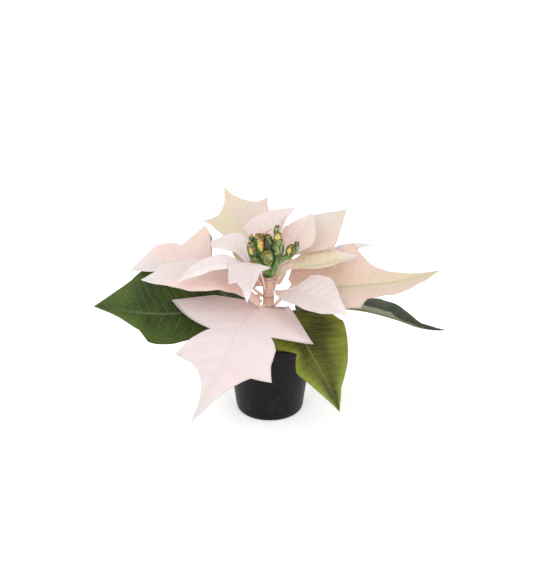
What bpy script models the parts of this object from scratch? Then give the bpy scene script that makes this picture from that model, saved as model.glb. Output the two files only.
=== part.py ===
"""A poinsettia in a small round nursery pot: pot, soil, stem, flower head, fourteen bracts and five leaves.

Lengths in the constants and the tables are millimetres, and MM turns them into metres. The pot stands on the
XY plane with the middle of its underside at the origin. The viewer of the plant's front looks along +Y.
"""

import math

import bmesh
import bpy
import numpy as np
from mathutils import Matrix, Vector

MM = 0.001
PLANT = "poinsettia"

POT_HEIGHT = 60.0
POT_BASE_RADIUS = 24.0
POT_RIM_RADIUS = 32.0
POT_WALL = 1.3
POT_RIM_BAND = 6.0
POT_RIM_STEP = 0.9
POT_FOOT_CHAMFER = 1.6
POT_STEPS = 42
DRAIN_RADIUS = 2.6
DRAIN_CIRCLE = 15.0
DRAIN_COUNT = 6
DRAIN_STEPS = 12

GAP = 0.3
SOIL_TOP = 52.0
SOIL_STEPS = 32
SOIL_BUMP = 0.7
SOIL_RINGS = (0.0, 6.5, 11.0, 15.0, 19.0, 23.0, 26.5)
SOIL_EDGE = 27.5

STEM_X = -1.0
STEM_RADIUS = 4.2
STEM_FOOT_RADIUS = 4.8
STEM_FOOT = 22.0
STEM_TOP = 106.2
STEM_NODES = (57.0, 66.0, 75.0, 84.0, 91.0, 98.0)
STEM_NODE_SWELL = 0.35
STEM_STEPS = 16
STEM_HOLE_ROOM = 0.5
CUTTER_REACH = 20.0

BRACT_THICKNESS = 0.7
LEAF_THICKNESS = 0.8
STALK_RADIUS = 1.1
SMALL_STALK_RADIUS = 0.8
RIB_TIP_RADIUS = 0.45
RIB_END = 0.9
STALK_SINK = 0.55
CURL_SPAN = 0.3
VEIN_SWEEP = 0.45
FOOT_SLOPE = 0.08
SHARED_STATION = 0.012
MIDRIB_SAMPLES = 160

# The flower head: each cup's foot, its top, its width, and the side that its gland is on in degrees.
CUPS = [
    ((6.2, -3.0, 124.0), (5.9, -3.2, 137.5), 8.8, 262.0),
    ((5.5, -1.0, 134.0), (5.6, -1.2, 141.5), 5.8, 268.0),
    ((3.9, 0.0, 139.5), (5.4, 0.0, 145.6), 4.4, 20.0),
    ((-2.0, -2.0, 123.0), (-1.8, -2.2, 140.3), 8.2, 300.0),
    ((-6.4, -3.2, 122.0), (-8.0, -3.6, 141.6), 7.4, 285.0),
    ((-11.6, 1.0, 129.5), (-13.4, 1.0, 137.8), 4.6, 200.0),
    ((-11.4, -3.6, 121.6), (-13.8, -4.4, 134.8), 7.2, 262.0),
    ((-6.4, -5.6, 119.0), (-13.6, -7.0, 122.4), 6.4, 250.0),
    ((-1.4, -5.6, 119.5), (-2.0, -8.0, 129.0), 9.0, 262.0),
    ((13.2, -2.0, 123.0), (16.2, -2.4, 132.0), 6.8, 245.0),
    ((17.6, -0.8, 125.0), (19.6, -0.8, 133.6), 4.6, 320.0),
    ((-4.4, 4.6, 122.0), (-5.2, 6.4, 137.0), 6.4, 100.0),
    ((3.6, 5.2, 120.0), (4.8, 7.4, 133.0), 6.4, 60.0),
]
CUP_STEPS = 8
GLAND_LENGTH = 0.62
GLAND_WIDTH = 0.34
TIP_COUNT = 3
TIP_LENGTH = 1.7

# Branches of the flower head: points from the stem top outwards, with the radius at both ends.
BRANCHES = [
    ([(-1.4, 0.0, 106.6), (-1.4, 0.0, 108.0)], 3.9, 3.6),
    ([(0.6, -0.3, 108.0), (2.4, -1.0, 112.2), (4.6, -1.6, 118.0), (6.2, -2.4, 124.5)], 2.9, 2.5),
    ([(5.0, -1.8, 118.8), (9.0, -2.2, 121.0), (13.2, -2.0, 123.8)], 2.2, 1.9),
    ([(10.8, -2.0, 121.8), (14.6, -1.6, 122.8), (17.6, -0.8, 126.2)], 1.6, 1.3),
    ([(-2.4, -0.6, 107.8), (-2.0, -2.0, 113.0), (-2.0, -2.4, 118.0), (-2.0, -2.0, 124.5)], 2.2, 2.2),
    ([(-1.8, -2.0, 113.0), (-1.4, -4.2, 116.0), (-1.4, -5.6, 120.6)], 2.0, 2.2),
    ([(-2.0, -2.2, 113.6), (-4.8, -3.0, 117.0), (-6.2, -3.2, 119.8), (-6.4, -3.2, 123.4)], 2.0, 2.0),
    ([(-5.0, -3.0, 117.2), (-8.8, -3.4, 118.6), (-11.4, -3.6, 122.8)], 1.8, 1.7),
    ([(-6.0, -2.8, 117.8), (-9.4, -0.8, 121.4), (-11.6, 1.0, 130.6)], 1.5, 1.3),
    ([(-3.4, -2.8, 115.4), (-5.0, -4.8, 117.0), (-7.2, -5.8, 119.4)], 1.8, 1.8),
    ([(-1.8, -1.6, 113.0), (-3.4, 2.2, 117.0), (-4.4, 4.6, 123.0)], 1.8, 1.6),
    ([(3.2, -1.0, 114.6), (3.6, 2.8, 117.5), (3.6, 5.2, 121.0)], 1.8, 1.6),
    ([(3.8, 2.6, 117.5), (4.4, 1.4, 127.0), (4.6, 0.2, 136.0), (4.0, 0.0, 140.6)], 1.4, 1.2),
]

BRACT_COLOURS = {
    "bract_front_left": (0.82, 0.63, 0.62),
    "bract_right": (0.80, 0.46, 0.40),
    "bract_front_right": (0.80, 0.52, 0.50),
    "bract_back_right": (0.84, 0.66, 0.58),
    "bract_back_left": (0.84, 0.70, 0.56),
    "bract_left_back": (0.80, 0.55, 0.52),
    "bract_left": (0.80, 0.58, 0.56),
    "bract_small_right": (0.62, 0.52, 0.34),
    "bract_small_back": (0.80, 0.58, 0.60),
    "bract_small_left_back": (0.82, 0.60, 0.54),
    "bract_small_left": (0.80, 0.58, 0.56),
    "bract_small_front": (0.82, 0.64, 0.64),
    "bract_small_back_right": (0.80, 0.62, 0.62),
    "bract_slim_right": (0.80, 0.72, 0.72),
}
LEAF_COLOUR = (0.035, 0.085, 0.025)


def smooth_route(corners, shares):
    """Points at these shares of a smooth curve through the corners, its knots spaced by chord length."""
    corners = np.array(corners, float)
    chords = np.linalg.norm(np.diff(corners, axis=0), axis=1)
    knots = np.concatenate([[0.0], np.cumsum(chords)]) / chords.sum()
    spans = np.diff(knots)
    slopes = np.diff(corners, axis=0) / spans[:, None]
    tangents = np.empty_like(corners)
    before, after = spans[:-1, None], spans[1:, None]
    tangents[1:-1] = (slopes[:-1] * after + slopes[1:] * before) / (before + after)
    tangents[0] = 2 * slopes[0] - tangents[1] if len(corners) > 2 else slopes[0]
    tangents[-1] = 2 * slopes[-1] - tangents[-2] if len(corners) > 2 else slopes[-1]
    span = np.clip(np.searchsorted(knots, shares, "right") - 1, 0, len(spans) - 1)
    u = ((shares - knots[span]) / spans[span])[:, None]
    width = spans[span][:, None]
    return (
        (2 * u**3 - 3 * u**2 + 1) * corners[span]
        + (u**3 - 2 * u**2 + u) * width * tangents[span]
        + (3 * u**2 - 2 * u**3) * corners[span + 1]
        + (u**3 - u**2) * width * tangents[span + 1]
    )


def unit(vectors):
    return vectors / np.linalg.norm(vectors, axis=-1, keepdims=True)


class Blade:
    """One leaf or bract: a smooth midrib through a few points, and a flat outline laid along it.

    A point of the blade is named by two shares of its length: along the midrib, and across it, positive to
    the left of someone who looks from the stem to the tip. Each side leaves the midrib at its fold angle, and
    turns by its curl angle for every CURL_SPAN of the length that it goes out. A corner of an outline is
    (along, across, bulge of the stretch before it as a share of that stretch).
    """

    def __init__(self, name, route, stalk, left, right, fold=(0, 0), curl=(0, 0), roll=0, twist=0, cells=3):
        self.name = name
        self.stalk = stalk
        self.outlines = (self.corners(left), self.corners(right))
        self.fold = np.radians(fold)
        self.curl = np.radians(curl)
        self.roll = math.radians(roll)
        self.twist = math.radians(twist)
        self.cells = cells
        self.points = smooth_route(route, np.linspace(0, 1, MIDRIB_SAMPLES))
        steps = np.linalg.norm(np.diff(self.points, axis=0), axis=1)
        self.travel = np.concatenate([[0.0], np.cumsum(steps)])
        self.length = self.travel[-1] - stalk
        self.ahead = unit(np.gradient(self.points, self.travel, axis=0))
        heading = self.points[-1] - self.points[0]
        self.sideways = unit(np.array([-heading[1], heading[0], 0.0]))

    def is_leaf(self):
        return self.name.startswith("leaf")

    def corners(self, outline):
        return np.array([(0.0, 0.0, 0.0)] + list(outline) + [(1.0, 0.0, 0.0)])

    def midrib(self, along):
        """The midrib's point, its left and its upward direction, at shares of the blade's length."""
        way = self.stalk + along * self.length
        centre = np.stack([np.interp(way, self.travel, self.points[:, k]) for k in range(3)], -1)
        ahead = unit(np.stack([np.interp(way, self.travel, self.ahead[:, k]) for k in range(3)], -1))
        centre = centre + ahead * np.minimum(way, 0)[..., None]
        left = unit(self.sideways - (ahead @ self.sideways)[..., None] * ahead)
        up = np.cross(ahead, left)
        turn = (self.roll + self.twist * np.clip(along, 0, 1))[..., None]
        return centre, left * np.cos(turn) + up * np.sin(turn), up * np.cos(turn) - left * np.sin(turn)

    def surface(self, along, across):
        """Points of the blade: each side is an arc that starts at the fold angle and bends by the curl."""
        centre, left, up = self.midrib(along)
        side = np.where(across >= 0, 0, 1)
        start = self.fold[side]
        bend = self.curl[side] / CURL_SPAN
        bend = np.where(np.abs(bend) < 1e-4, 1e-4, bend)
        end = start + bend * np.abs(across)
        out = (np.sin(end) - np.sin(start)) / bend * self.length * np.sign(across)
        rise = (np.cos(start) - np.cos(end)) / bend * self.length
        return centre + left * out[..., None] + up * rise[..., None]

    def feet(self, side):
        """Where the side veins that run to an outline's corners leave the midrib: always further along."""
        corners = self.outlines[side]
        swept = np.clip(corners[:, 0] - VEIN_SWEEP * corners[:, 1], 0, 1)
        even = np.linspace(0, 1, len(corners))
        return (1 - FOOT_SLOPE) * np.maximum.accumulate(swept) + FOOT_SLOPE * even

    def edge(self, side, feet, stations):
        """The outline's points that belong to these stations on the midrib."""
        corners = self.outlines[side]
        k = np.clip(np.searchsorted(feet, stations, "right") - 1, 0, len(feet) - 2)
        u = (stations - feet[k]) / (feet[k + 1] - feet[k])
        step = corners[k + 1, :2] - corners[k, :2]
        bulge = 4 * corners[k + 1, 2] * u * (1 - u)
        along = corners[k, 0] + step[:, 0] * u - step[:, 1] * bulge
        across = corners[k, 1] + step[:, 1] * u + step[:, 0] * bulge
        return along, across

    def grid(self, rows):
        """Rows of (along, across) from the right edge over the midrib to the left edge."""
        left_feet, right_feet = self.feet(0), self.feet(1)
        for i in range(1, len(right_feet) - 1):
            nearest = left_feet[np.argmin(np.abs(left_feet - right_feet[i]))]
            room = right_feet[i - 1] + 1e-3 < nearest < right_feet[i + 1] - 1e-3
            if room and abs(nearest - right_feet[i]) < SHARED_STATION:
                right_feet[i] = nearest
        marks = np.unique(np.round(np.concatenate([left_feet, right_feet]), 5))
        stations = [marks[:1]]
        for start, end in zip(marks[:-1], marks[1:]):
            stations.append(np.linspace(start, end, math.ceil((end - start) * rows) + 1)[1:])
        stations = np.concatenate(stations)
        out = np.linspace(0, 1, self.cells + 1)[None, :]
        halves = []
        for side, feet, sign in ((0, left_feet, 1), (1, right_feet, -1)):
            along, across = self.edge(side, feet, stations)
            reach = stations[:, None] + (along - stations)[:, None] * out
            halves.append((reach, sign * across[:, None] * out))
        along = np.concatenate([halves[1][0][:, :0:-1], halves[0][0]], axis=1)
        across = np.concatenate([halves[1][1][:, :0:-1], halves[0][1]], axis=1)
        return along, across


BLADES = [
    Blade(
        "bract_front_left",
        [(-3.5, -4.0, 85), (-16, -26, 86), (-36, -66, 64), (-55, -98, 41)],
        stalk=6,
        left=[(-0.08, 0.065, 0.0), (-0.17, 0.11, 0.0), (-0.10, 0.20, 0.05), (0.14, 0.46, 0.06),
              (0.27, 0.21, 0.05), (0.36, 0.28, 0.04), (0.47, 0.29, 0.0), (0.57, 0.34, -0.03),
              (0.59, 0.21, 0.02), (0.89, 0.045, -0.08)],
        right=[(-0.05, 0.12, 0.0), (0.02, 0.33, 0.1), (0.20, 0.53, 0.02), (0.33, 0.18, 0.05),
               (0.57, 0.33, 0.08), (0.60, 0.20, 0.02), (0.66, 0.12, -0.03), (0.76, 0.05, -0.04),
               (0.88, 0.015, -0.02)],
        fold=(-6, 2), curl=(-8, 0),
    ),
    Blade(
        "bract_right",
        [(4.3, -0.5, 84), (13, 2, 92), (50, 6, 94), (94, 12, 96), (123, 18, 102)],
        stalk=18,
        left=[(-0.02, 0.10, 0.0), (0.02, 0.20, 0.02), (0.36, 0.35, 0.06), (0.45, 0.385, 0.02),
              (0.49, 0.29, 0.0), (0.56, 0.18, -0.03), (0.80, 0.05, -0.05)],
        right=[(0.10, 0.18, 0.08), (0.28, 0.34, 0.05), (0.40, 0.33, 0.04), (0.46, 0.21, -0.04),
               (0.64, 0.18, 0.0), (0.88, 0.08, 0.02)],
        fold=(22, 2),
    ),
    Blade(
        "bract_front_right",
        [(1.6, -4.2, 96.2), (16, -12, 100), (34, -27, 100), (55, -42, 96)],
        stalk=4,
        left=[(0.13, 0.02, 0.0), (0.24, 0.12, 0.0), (0.27, 0.26, 0.02), (0.37, 0.32, 0.03),
              (0.48, 0.355, 0.03), (0.61, 0.30, 0.04), (0.77, 0.17, 0.02)],
        right=[(0.02, 0.09, 0.1), (0.22, 0.21, 0.04), (0.54, 0.22, 0.03), (0.76, 0.17, 0.02)],
        fold=(24, -8), cells=2,
    ),
    Blade(
        "bract_back_right",
        [(2.4, 4.2, 92), (12, 18, 112), (37, 43, 120), (57, 66, 129)],
        stalk=4,
        left=[(0.03, 0.03, 0.0), (0.12, 0.05, 0.0), (0.295, 0.123, 0.08), (0.507, 0.264, 0.04),
              (0.612, 0.203, -0.02), (0.806, 0.167, 0.04)],
        right=[(0.03, 0.05, 0.0), (0.12, 0.065, 0.0), (0.295, 0.044, 0.0), (0.445, 0.141, 0.0),
               (0.577, 0.216, 0.0), (0.762, 0.11, 0.0)],
        fold=(10, -5),
    ),
    Blade(
        "bract_small_right",
        [(3.6, 2.0, 96), (8.6, 3.2, 106.4), (14, 4.6, 110), (24, 6.4, 109.8), (40, 12, 110), (64, 20, 113)],
        stalk=3,
        left=[(0.06, 0.04, 0.0), (0.15, 0.08, 0.02), (0.26, 0.12, 0.0), (0.44, 0.24, 0.03),
              (0.62, 0.26, 0.03), (0.82, 0.17, 0.04)],
        right=[(0.10, 0.02, 0.0), (0.26, 0.05, 0.0), (0.42, 0.18, 0.04), (0.68, 0.17, 0.03),
               (0.84, 0.09, 0.02)],
        fold=(14, 20), cells=2,
    ),
    Blade(
        "bract_back_left",
        [(-3.2, 4.8, 92), (-12, 19, 115), (-22, 57, 121), (-34, 92, 135)],
        stalk=4,
        left=[(0.01, 0.05, 0.0), (0.1, 0.07, 0.0), (0.274, 0.142, 0.08), (0.504, 0.151, 0.03),
              (0.584, 0.186, -0.02), (0.699, 0.248, -0.05), (0.734, 0.133, -0.04), (0.885, 0.035, -0.05)],
        right=[(0.03, 0.03, 0.0), (0.12, 0.04, 0.0), (0.274, 0.159, 0.08), (0.575, 0.23, 0.05),
               (0.743, 0.239, -0.02), (0.814, 0.266, 0.0), (0.796, 0.168, -0.04), (0.92, 0.035, -0.05)],
        fold=(5, 5), roll=-4,
    ),
    Blade(
        "bract_small_back",
        [(-0.6, 5.0, 100), (1, 12, 111), (3, 22, 129), (19, 37, 143)],
        stalk=14,
        left=[(0.20, 0.08, 0.02), (0.30, 0.28, 0.0), (0.42, 0.54, 0.02), (0.60, 0.38, -0.04)],
        right=[(0.24, 0.08, 0.05), (0.62, 0.10, 0.05), (0.80, 0.04, 0.02)],
        fold=(10, 10), cells=2,
    ),
    Blade(
        "bract_small_left_back",
        [(-5.1, 2.8, 97), (-17, 11, 115), (-29, 20, 122), (-43, 28, 120)],
        stalk=3,
        left=[(0.02, 0.05, 0.0), (0.14, 0.075, 0.0), (0.339, 0.051, 0.04), (0.525, 0.093, 0.0),
              (0.686, 0.195, 0.03), (0.873, 0.195, 0.05)],
        right=[(0.02, 0.06, 0.0), (0.14, 0.1, 0.0), (0.322, 0.153, 0.06), (0.593, 0.305, 0.06),
               (0.78, 0.237, 0.04), (0.89, 0.127, 0.03)],
        fold=(0, 10), cells=2,
    ),
    Blade(
        "bract_left_back",
        [(-5.4, 2.4, 89), (-27, 12, 101), (-64, 22, 107), (-86, 24, 103), (-102, 25, 98)],
        stalk=8,
        left=[(0.04, 0.01, 0.0), (0.266, 0.165, 0.08), (0.468, 0.239, 0.05), (0.596, 0.138, -0.03),
              (0.816, 0.092, 0.03)],
        right=[(0.0, 0.05, 0.0), (0.05, 0.06, 0.0), (0.394, 0.073, 0.0), (0.44, 0.275, 0.02),
               (0.5, 0.362, 0.03), (0.615, 0.165, -0.02), (0.688, 0.202, 0.05), (0.798, 0.184, 0.03),
               (0.881, 0.11, 0.02)],
        fold=(-7, 25),
    ),
    Blade(
        "bract_left",
        [(-6.2, -0.6, 86), (-31, -3, 104), (-61, -8, 109), (-92, -10, 108)],
        stalk=2,
        left=[(0.0, 0.15, 0.0), (0.082, 0.174, 0.0), (0.169, 0.184, 0.02), (0.265, 0.174, 0.0),
              (0.41, 0.203, 0.03), (0.536, 0.242, 0.03), (0.662, 0.213, 0.02), (0.797, 0.145, 0.02),
              (0.923, 0.068, 0.02)],
        right=[(0.0, 0.08, 0.0), (0.02, 0.07, 0.0), (0.045, 0.03, 0.0), (0.149, 0.058, 0.0),
               (0.304, 0.116, 0.05), (0.439, 0.271, 0.02), (0.662, 0.232, 0.04), (0.826, 0.184, 0.03),
               (0.889, 0.087, 0.0)],
        fold=(0, 10),
    ),
    Blade(
        "bract_small_left",
        [(-5.8, -1.6, 99), (-20, -4.5, 116), (-43, -13, 121), (-66, -24, 113)],
        stalk=12,
        left=[(0.24, 0.08, 0.05), (0.52, 0.10, 0.02), (0.68, 0.11, 0.02), (0.84, 0.07, 0.02)],
        right=[(0.16, 0.12, 0.05), (0.30, 0.22, 0.04), (0.42, 0.22, 0.04), (0.58, 0.16, 0.0),
               (0.84, 0.06, 0.0)],
        fold=(-12, 4), cells=2,
    ),
    Blade(
        "bract_small_front",
        [(-3.5, -4.4, 98), (-6, -10, 112), (-9, -17, 124), (-13, -28, 117), (-16, -37, 103)],
        stalk=24,
        left=[(0.0, 0.12, 0.05), (0.08, 0.28, 0.05), (0.24, 0.24, 0.05), (0.34, 0.13, -0.03),
              (0.74, 0.06, 0.02)],
        right=[(0.02, 0.20, 0.05), (0.10, 0.44, 0.06), (0.34, 0.55, 0.05), (0.68, 0.44, 0.02),
               (0.63, 0.30, 0.0), (0.76, 0.14, 0.0)],
        fold=(-5, -5), cells=2,
    ),
    Blade(
        "bract_small_back_right",
        [(0.7, 4.7, 99), (12, 15, 117), (22, 30, 126), (31, 44, 136)],
        stalk=12,
        left=[(0.24, 0.10, 0.06), (0.50, 0.25, 0.06), (0.74, 0.20, 0.04)],
        right=[(0.24, 0.14, 0.05), (0.40, 0.33, 0.02), (0.56, 0.31, 0.04), (0.77, 0.19, 0.03)],
        fold=(10, 10), cells=2,
    ),
    Blade(
        "bract_slim_right",
        [(2.75, 3.2, 80), (20, 23, 88), (47, 45, 103), (76, 52, 106)],
        stalk=14,
        left=[(0.20, 0.05, 0.04), (0.50, 0.09, 0.02), (0.85, 0.06, 0.02)],
        right=[(0.20, 0.05, 0.04), (0.50, 0.09, 0.02), (0.85, 0.06, 0.02)],
        fold=(6, 6), cells=2,
    ),
    Blade(
        "leaf_left",
        [(-6.4, -0.8, 64), (-22, -3, 77), (-50, -6, 80), (-83, -10, 81), (-111, -13, 86), (-126, -14, 89)],
        stalk=24,
        left=[(0.10, 0.10, 0.06), (0.32, 0.24, 0.05), (0.50, 0.27, 0.03), (0.62, 0.26, 0.03),
              (0.68, 0.16, 0.0), (0.82, 0.06, 0.0)],
        right=[(0.10, 0.16, 0.08), (0.34, 0.38, 0.06), (0.52, 0.43, 0.04), (0.65, 0.38, 0.03),
               (0.74, 0.27, 0.02), (0.88, 0.13, 0.0)],
        fold=(-4, 8), roll=-20,
    ),
    Blade(
        "leaf_front",
        [(2.0, -4.6, 66), (15, -10, 79), (22, -24, 72), (32, -42, 60), (41, -56, 49), (49, -70, 34)],
        stalk=14,
        left=[(0.04, 0.14, 0.06), (0.15, 0.32, 0.05), (0.23, 0.375, 0.04), (0.37, 0.36, 0.04),
              (0.51, 0.31, 0.02), (0.66, 0.23, 0.02), (0.82, 0.09, 0.0)],
        right=[(0.06, 0.14, 0.08), (0.20, 0.24, 0.04), (0.33, 0.225, 0.03), (0.42, 0.105, -0.04),
               (0.56, 0.18, 0.05), (0.79, 0.10, 0.02)],
        fold=(10, -20),
    ),
    Blade(
        "leaf_right",
        [(3.7, 0.9, 73), (37, 12, 75), (67, 22, 68), (94, 28, 57), (112, 30, 49), (129, 30, 47)],
        stalk=30,
        left=[(0.12, 0.12, 0.06), (0.36, 0.13, 0.03), (0.56, 0.225, 0.03), (0.69, 0.18, 0.03),
              (0.84, 0.06, -0.02)],
        right=[(0.08, 0.10, 0.06), (0.25, 0.23, 0.05), (0.37, 0.28, 0.03), (0.47, 0.25, 0.03),
               (0.62, 0.10, -0.03), (0.80, 0.05, 0.0)],
        fold=(17, 17), roll=-20, twist=20,
    ),
    Blade(
        "leaf_back_right",
        [(3.1, 3.0, 56), (15, 12, 62), (35, 36, 65), (48, 64, 64), (55, 92, 54)],
        stalk=26,
        left=[(0.08, 0.12, 0.06), (0.34, 0.24, 0.06), (0.52, 0.25, 0.04), (0.66, 0.17, 0.0),
              (0.86, 0.07, 0.02)],
        right=[(0.08, 0.13, 0.06), (0.30, 0.24, 0.06), (0.50, 0.26, 0.04), (0.66, 0.17, 0.0),
               (0.86, 0.07, 0.02)],
        fold=(8, 8), curl=(-6, -6),
    ),
    Blade(
        "leaf_back_left",
        [(-4.0, 3.7, 59), (-14, 14, 62), (-30, 36, 69), (-42, 63, 71), (-50, 90, 60)],
        stalk=26,
        left=[(0.08, 0.15, 0.08), (0.30, 0.28, 0.08), (0.50, 0.28, 0.04), (0.66, 0.17, 0.0),
              (0.86, 0.07, 0.02)],
        right=[(0.08, 0.15, 0.08), (0.34, 0.29, 0.08), (0.52, 0.27, 0.04), (0.66, 0.17, 0.0),
               (0.86, 0.07, 0.02)],
        fold=(8, 8), curl=(-6, -6),
    ),
]
ROWS = {3: 11, 2: 8}


def clear_scene():
    for thing in list(bpy.data.objects):
        bpy.data.objects.remove(thing, do_unlink=True)


def collection(name, helper=False):
    made = bpy.data.collections.new(name)
    made.hide_render = helper
    bpy.context.scene.collection.children.link(made)
    return made


def material(name, colour, roughness, metallic=0.0):
    made = bpy.data.materials.new(name)
    made.use_nodes = True
    made.diffuse_color = (*colour, 1.0)
    shader = made.node_tree.nodes["Principled BSDF"]
    shader.inputs["Base Color"].default_value = (*colour, 1.0)
    shader.inputs["Roughness"].default_value = roughness
    shader.inputs["Metallic"].default_value = metallic
    return made


def new_object(name, mesh, home):
    made = bpy.data.objects.new(name, mesh)
    home.objects.link(made)
    return made


def evaluated_mesh(thing):
    """The object's mesh with its modifiers applied and its place kept in the points."""
    graph = bpy.context.evaluated_depsgraph_get()
    mesh = bpy.data.meshes.new_from_object(thing.evaluated_get(graph))
    mesh.transform(thing.matrix_world)
    return mesh


def remove(thing):
    bpy.data.objects.remove(thing, do_unlink=True)


def weld(mesh, distance):
    work = bmesh.new()
    work.from_mesh(mesh)
    bmesh.ops.remove_doubles(work, verts=work.verts, dist=distance)
    bmesh.ops.dissolve_degenerate(work, edges=work.edges, dist=distance * 0.5)
    work.to_mesh(mesh)
    work.free()
    return mesh


def turned(name, profile, steps, home):
    """A profile of (radius, height) points turned round the Z axis, its outer side given top to bottom."""
    mesh = bpy.data.meshes.new(name)
    points = [(r * MM, 0.0, z * MM) for r, z in profile]
    mesh.from_pydata(points, [(i, i + 1) for i in range(len(points) - 1)], [])
    made = new_object(name, mesh, home)
    screw = made.modifiers.new("turn", "SCREW")
    screw.steps = steps
    screw.render_steps = steps
    screw.use_merge_vertices = True
    screw.merge_threshold = 0.00001
    return made


def boolean(thing, operation, other, solver="EXACT"):
    cut = thing.modifiers.new(operation.lower(), "BOOLEAN")
    cut.operation = operation
    cut.solver = solver
    if isinstance(other, bpy.types.Collection):
        cut.operand_type = "COLLECTION"
        cut.collection = other
    else:
        cut.object = other
    return cut


def shade(thing, colour_material, angle=40):
    thing.data.materials.clear()
    thing.data.materials.append(colour_material)
    thing.data.shade_smooth()
    thing.data.set_sharp_from_angle(angle=math.radians(angle))


def pot_radius(height):
    """The pot's outer radius below its rim band."""
    top = POT_HEIGHT - POT_RIM_BAND
    return POT_BASE_RADIUS + (POT_RIM_RADIUS - POT_RIM_STEP - POT_BASE_RADIUS) * height / top


def pot_profile():
    band = POT_HEIGHT - POT_RIM_BAND
    rim = POT_RIM_RADIUS
    inner = [(pot_radius(z) - POT_WALL, z) for z in (band, SOIL_TOP / 2, POT_WALL)]
    return [
        (rim - POT_WALL - 0.5, POT_HEIGHT),
        (rim - 0.5, POT_HEIGHT),
        (rim, POT_HEIGHT - 0.5),
        (rim - 0.2, band + 0.4),
        (rim - 0.5, band),
        (pot_radius(band), band - 0.6),
        (pot_radius(POT_FOOT_CHAMFER + 2.0), POT_FOOT_CHAMFER + 2.0),
        (pot_radius(POT_FOOT_CHAMFER) - 0.3, POT_FOOT_CHAMFER),
        (POT_BASE_RADIUS - POT_FOOT_CHAMFER, 0.0),
        (0.0, 0.0),
    ], [
        (0.0, POT_WALL),
        *reversed(inner),
        (rim - POT_WALL - 0.5, POT_HEIGHT),
    ]


def make_pot(home, cutters):
    outer, inner = pot_profile()
    pot = turned("pot", outer + inner, POT_STEPS, home)
    for k in range(DRAIN_COUNT):
        turn = 2 * math.pi * (k + 0.5) / DRAIN_COUNT
        bpy.ops.mesh.primitive_cylinder_add(
            vertices=DRAIN_STEPS,
            radius=DRAIN_RADIUS * MM,
            depth=4 * POT_WALL * MM,
            location=Vector((math.cos(turn), math.sin(turn), 0)) * DRAIN_CIRCLE * MM,
        )
        boolean(pot, "DIFFERENCE", as_cutter(f"drain_hole_{k + 1}", cutters))
    shade(pot, material("pot_black", (0.012, 0.012, 0.016), 0.42))
    return pot


def as_cutter(name, cutters):
    """The primitive just added, named and put away among the cutters."""
    made = bpy.context.object
    made.name = name
    for other in list(made.users_collection):
        other.objects.unlink(made)
    cutters.objects.link(made)
    made.hide_render = True
    made.display_type = "WIRE"
    return made


def soil_bump(x, y):
    """The soil's small hills in millimetres, from a few crossing waves."""
    broad = np.sin(0.43 * x + 1.1) * np.cos(0.37 * y)
    middle = 0.6 * np.sin(0.81 * y - 0.5 * x)
    fine = 0.4 * np.cos(1.1 * x + 0.7 * y)
    return SOIL_BUMP * (broad + middle + fine)


def make_soil(home, cutters):
    """Fills the pot to SOIL_TOP, gap all round, with a bumpy top and a plain hole for the stem's foot."""
    clear = POT_WALL + GAP
    outer = [(pot_radius(z) - clear, z) for z in (SOIL_TOP, SOIL_TOP / 2, POT_WALL + GAP)]
    rings = [(radius, SOIL_TOP) for radius in SOIL_RINGS]
    soil = turned("soil", rings + outer + [(0.0, POT_WALL + GAP)], SOIL_STEPS, home)
    mesh = evaluated_mesh(soil)
    soil.modifiers.clear()
    soil.data = mesh
    places = np.empty(len(mesh.vertices) * 3, np.float32)
    mesh.vertices.foreach_get("co", places)
    places = places.reshape(-1, 3)
    radius = np.hypot(places[:, 0], places[:, 1]) / MM
    on_top = (places[:, 2] > (SOIL_TOP - 0.01) * MM) & (radius < SOIL_EDGE)
    fade = np.clip((SOIL_EDGE - radius) / 4.0, 0, 1) * on_top
    places[:, 2] += soil_bump(places[:, 0] / MM, places[:, 1] / MM) * fade * MM
    mesh.vertices.foreach_set("co", places.reshape(-1))
    mesh.update()
    bpy.ops.mesh.primitive_cylinder_add(
        vertices=STEM_STEPS,
        radius=(STEM_FOOT_RADIUS + STEM_HOLE_ROOM) * MM,
        depth=(SOIL_TOP + CUTTER_REACH - STEM_FOOT) * MM,
        location=(STEM_X * MM, 0, ((STEM_FOOT + SOIL_TOP + CUTTER_REACH) / 2 - GAP) * MM),
    )
    boolean(soil, "DIFFERENCE", as_cutter("stem_hole", cutters))
    shade(soil, material("soil_brown", (0.030, 0.018, 0.011), 0.95), 60)
    return soil


def stem_radius(height):
    """The stem narrows upwards and swells a little at each node."""
    share = np.clip((height - STEM_FOOT) / (STEM_TOP - STEM_FOOT), 0, 1)
    plain = STEM_FOOT_RADIUS + (STEM_RADIUS - STEM_FOOT_RADIUS) * share - STEM_NODE_SWELL
    return plain + STEM_NODE_SWELL * max(math.exp(-(((height - z) / 1.1) ** 2)) for z in STEM_NODES)


def make_stem(home):
    heights = [STEM_FOOT, 35.0, 48.0]
    for z in STEM_NODES:
        heights += [z - 2.2, z - 0.7, z + 0.7, z + 2.2]
    heights += [STEM_TOP - 1.0]
    profile = [(stem_radius(z), z) for z in heights]
    profile = [(0.0, STEM_FOOT)] + profile + [(stem_radius(STEM_TOP) - 0.6, STEM_TOP), (0.0, STEM_TOP)]
    stem = turned("stem", profile[::-1], STEM_STEPS, home)
    stem.location.x = STEM_X * MM
    shade(stem, material("stem_rose", (0.42, 0.20, 0.15), 0.55))
    return stem


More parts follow.
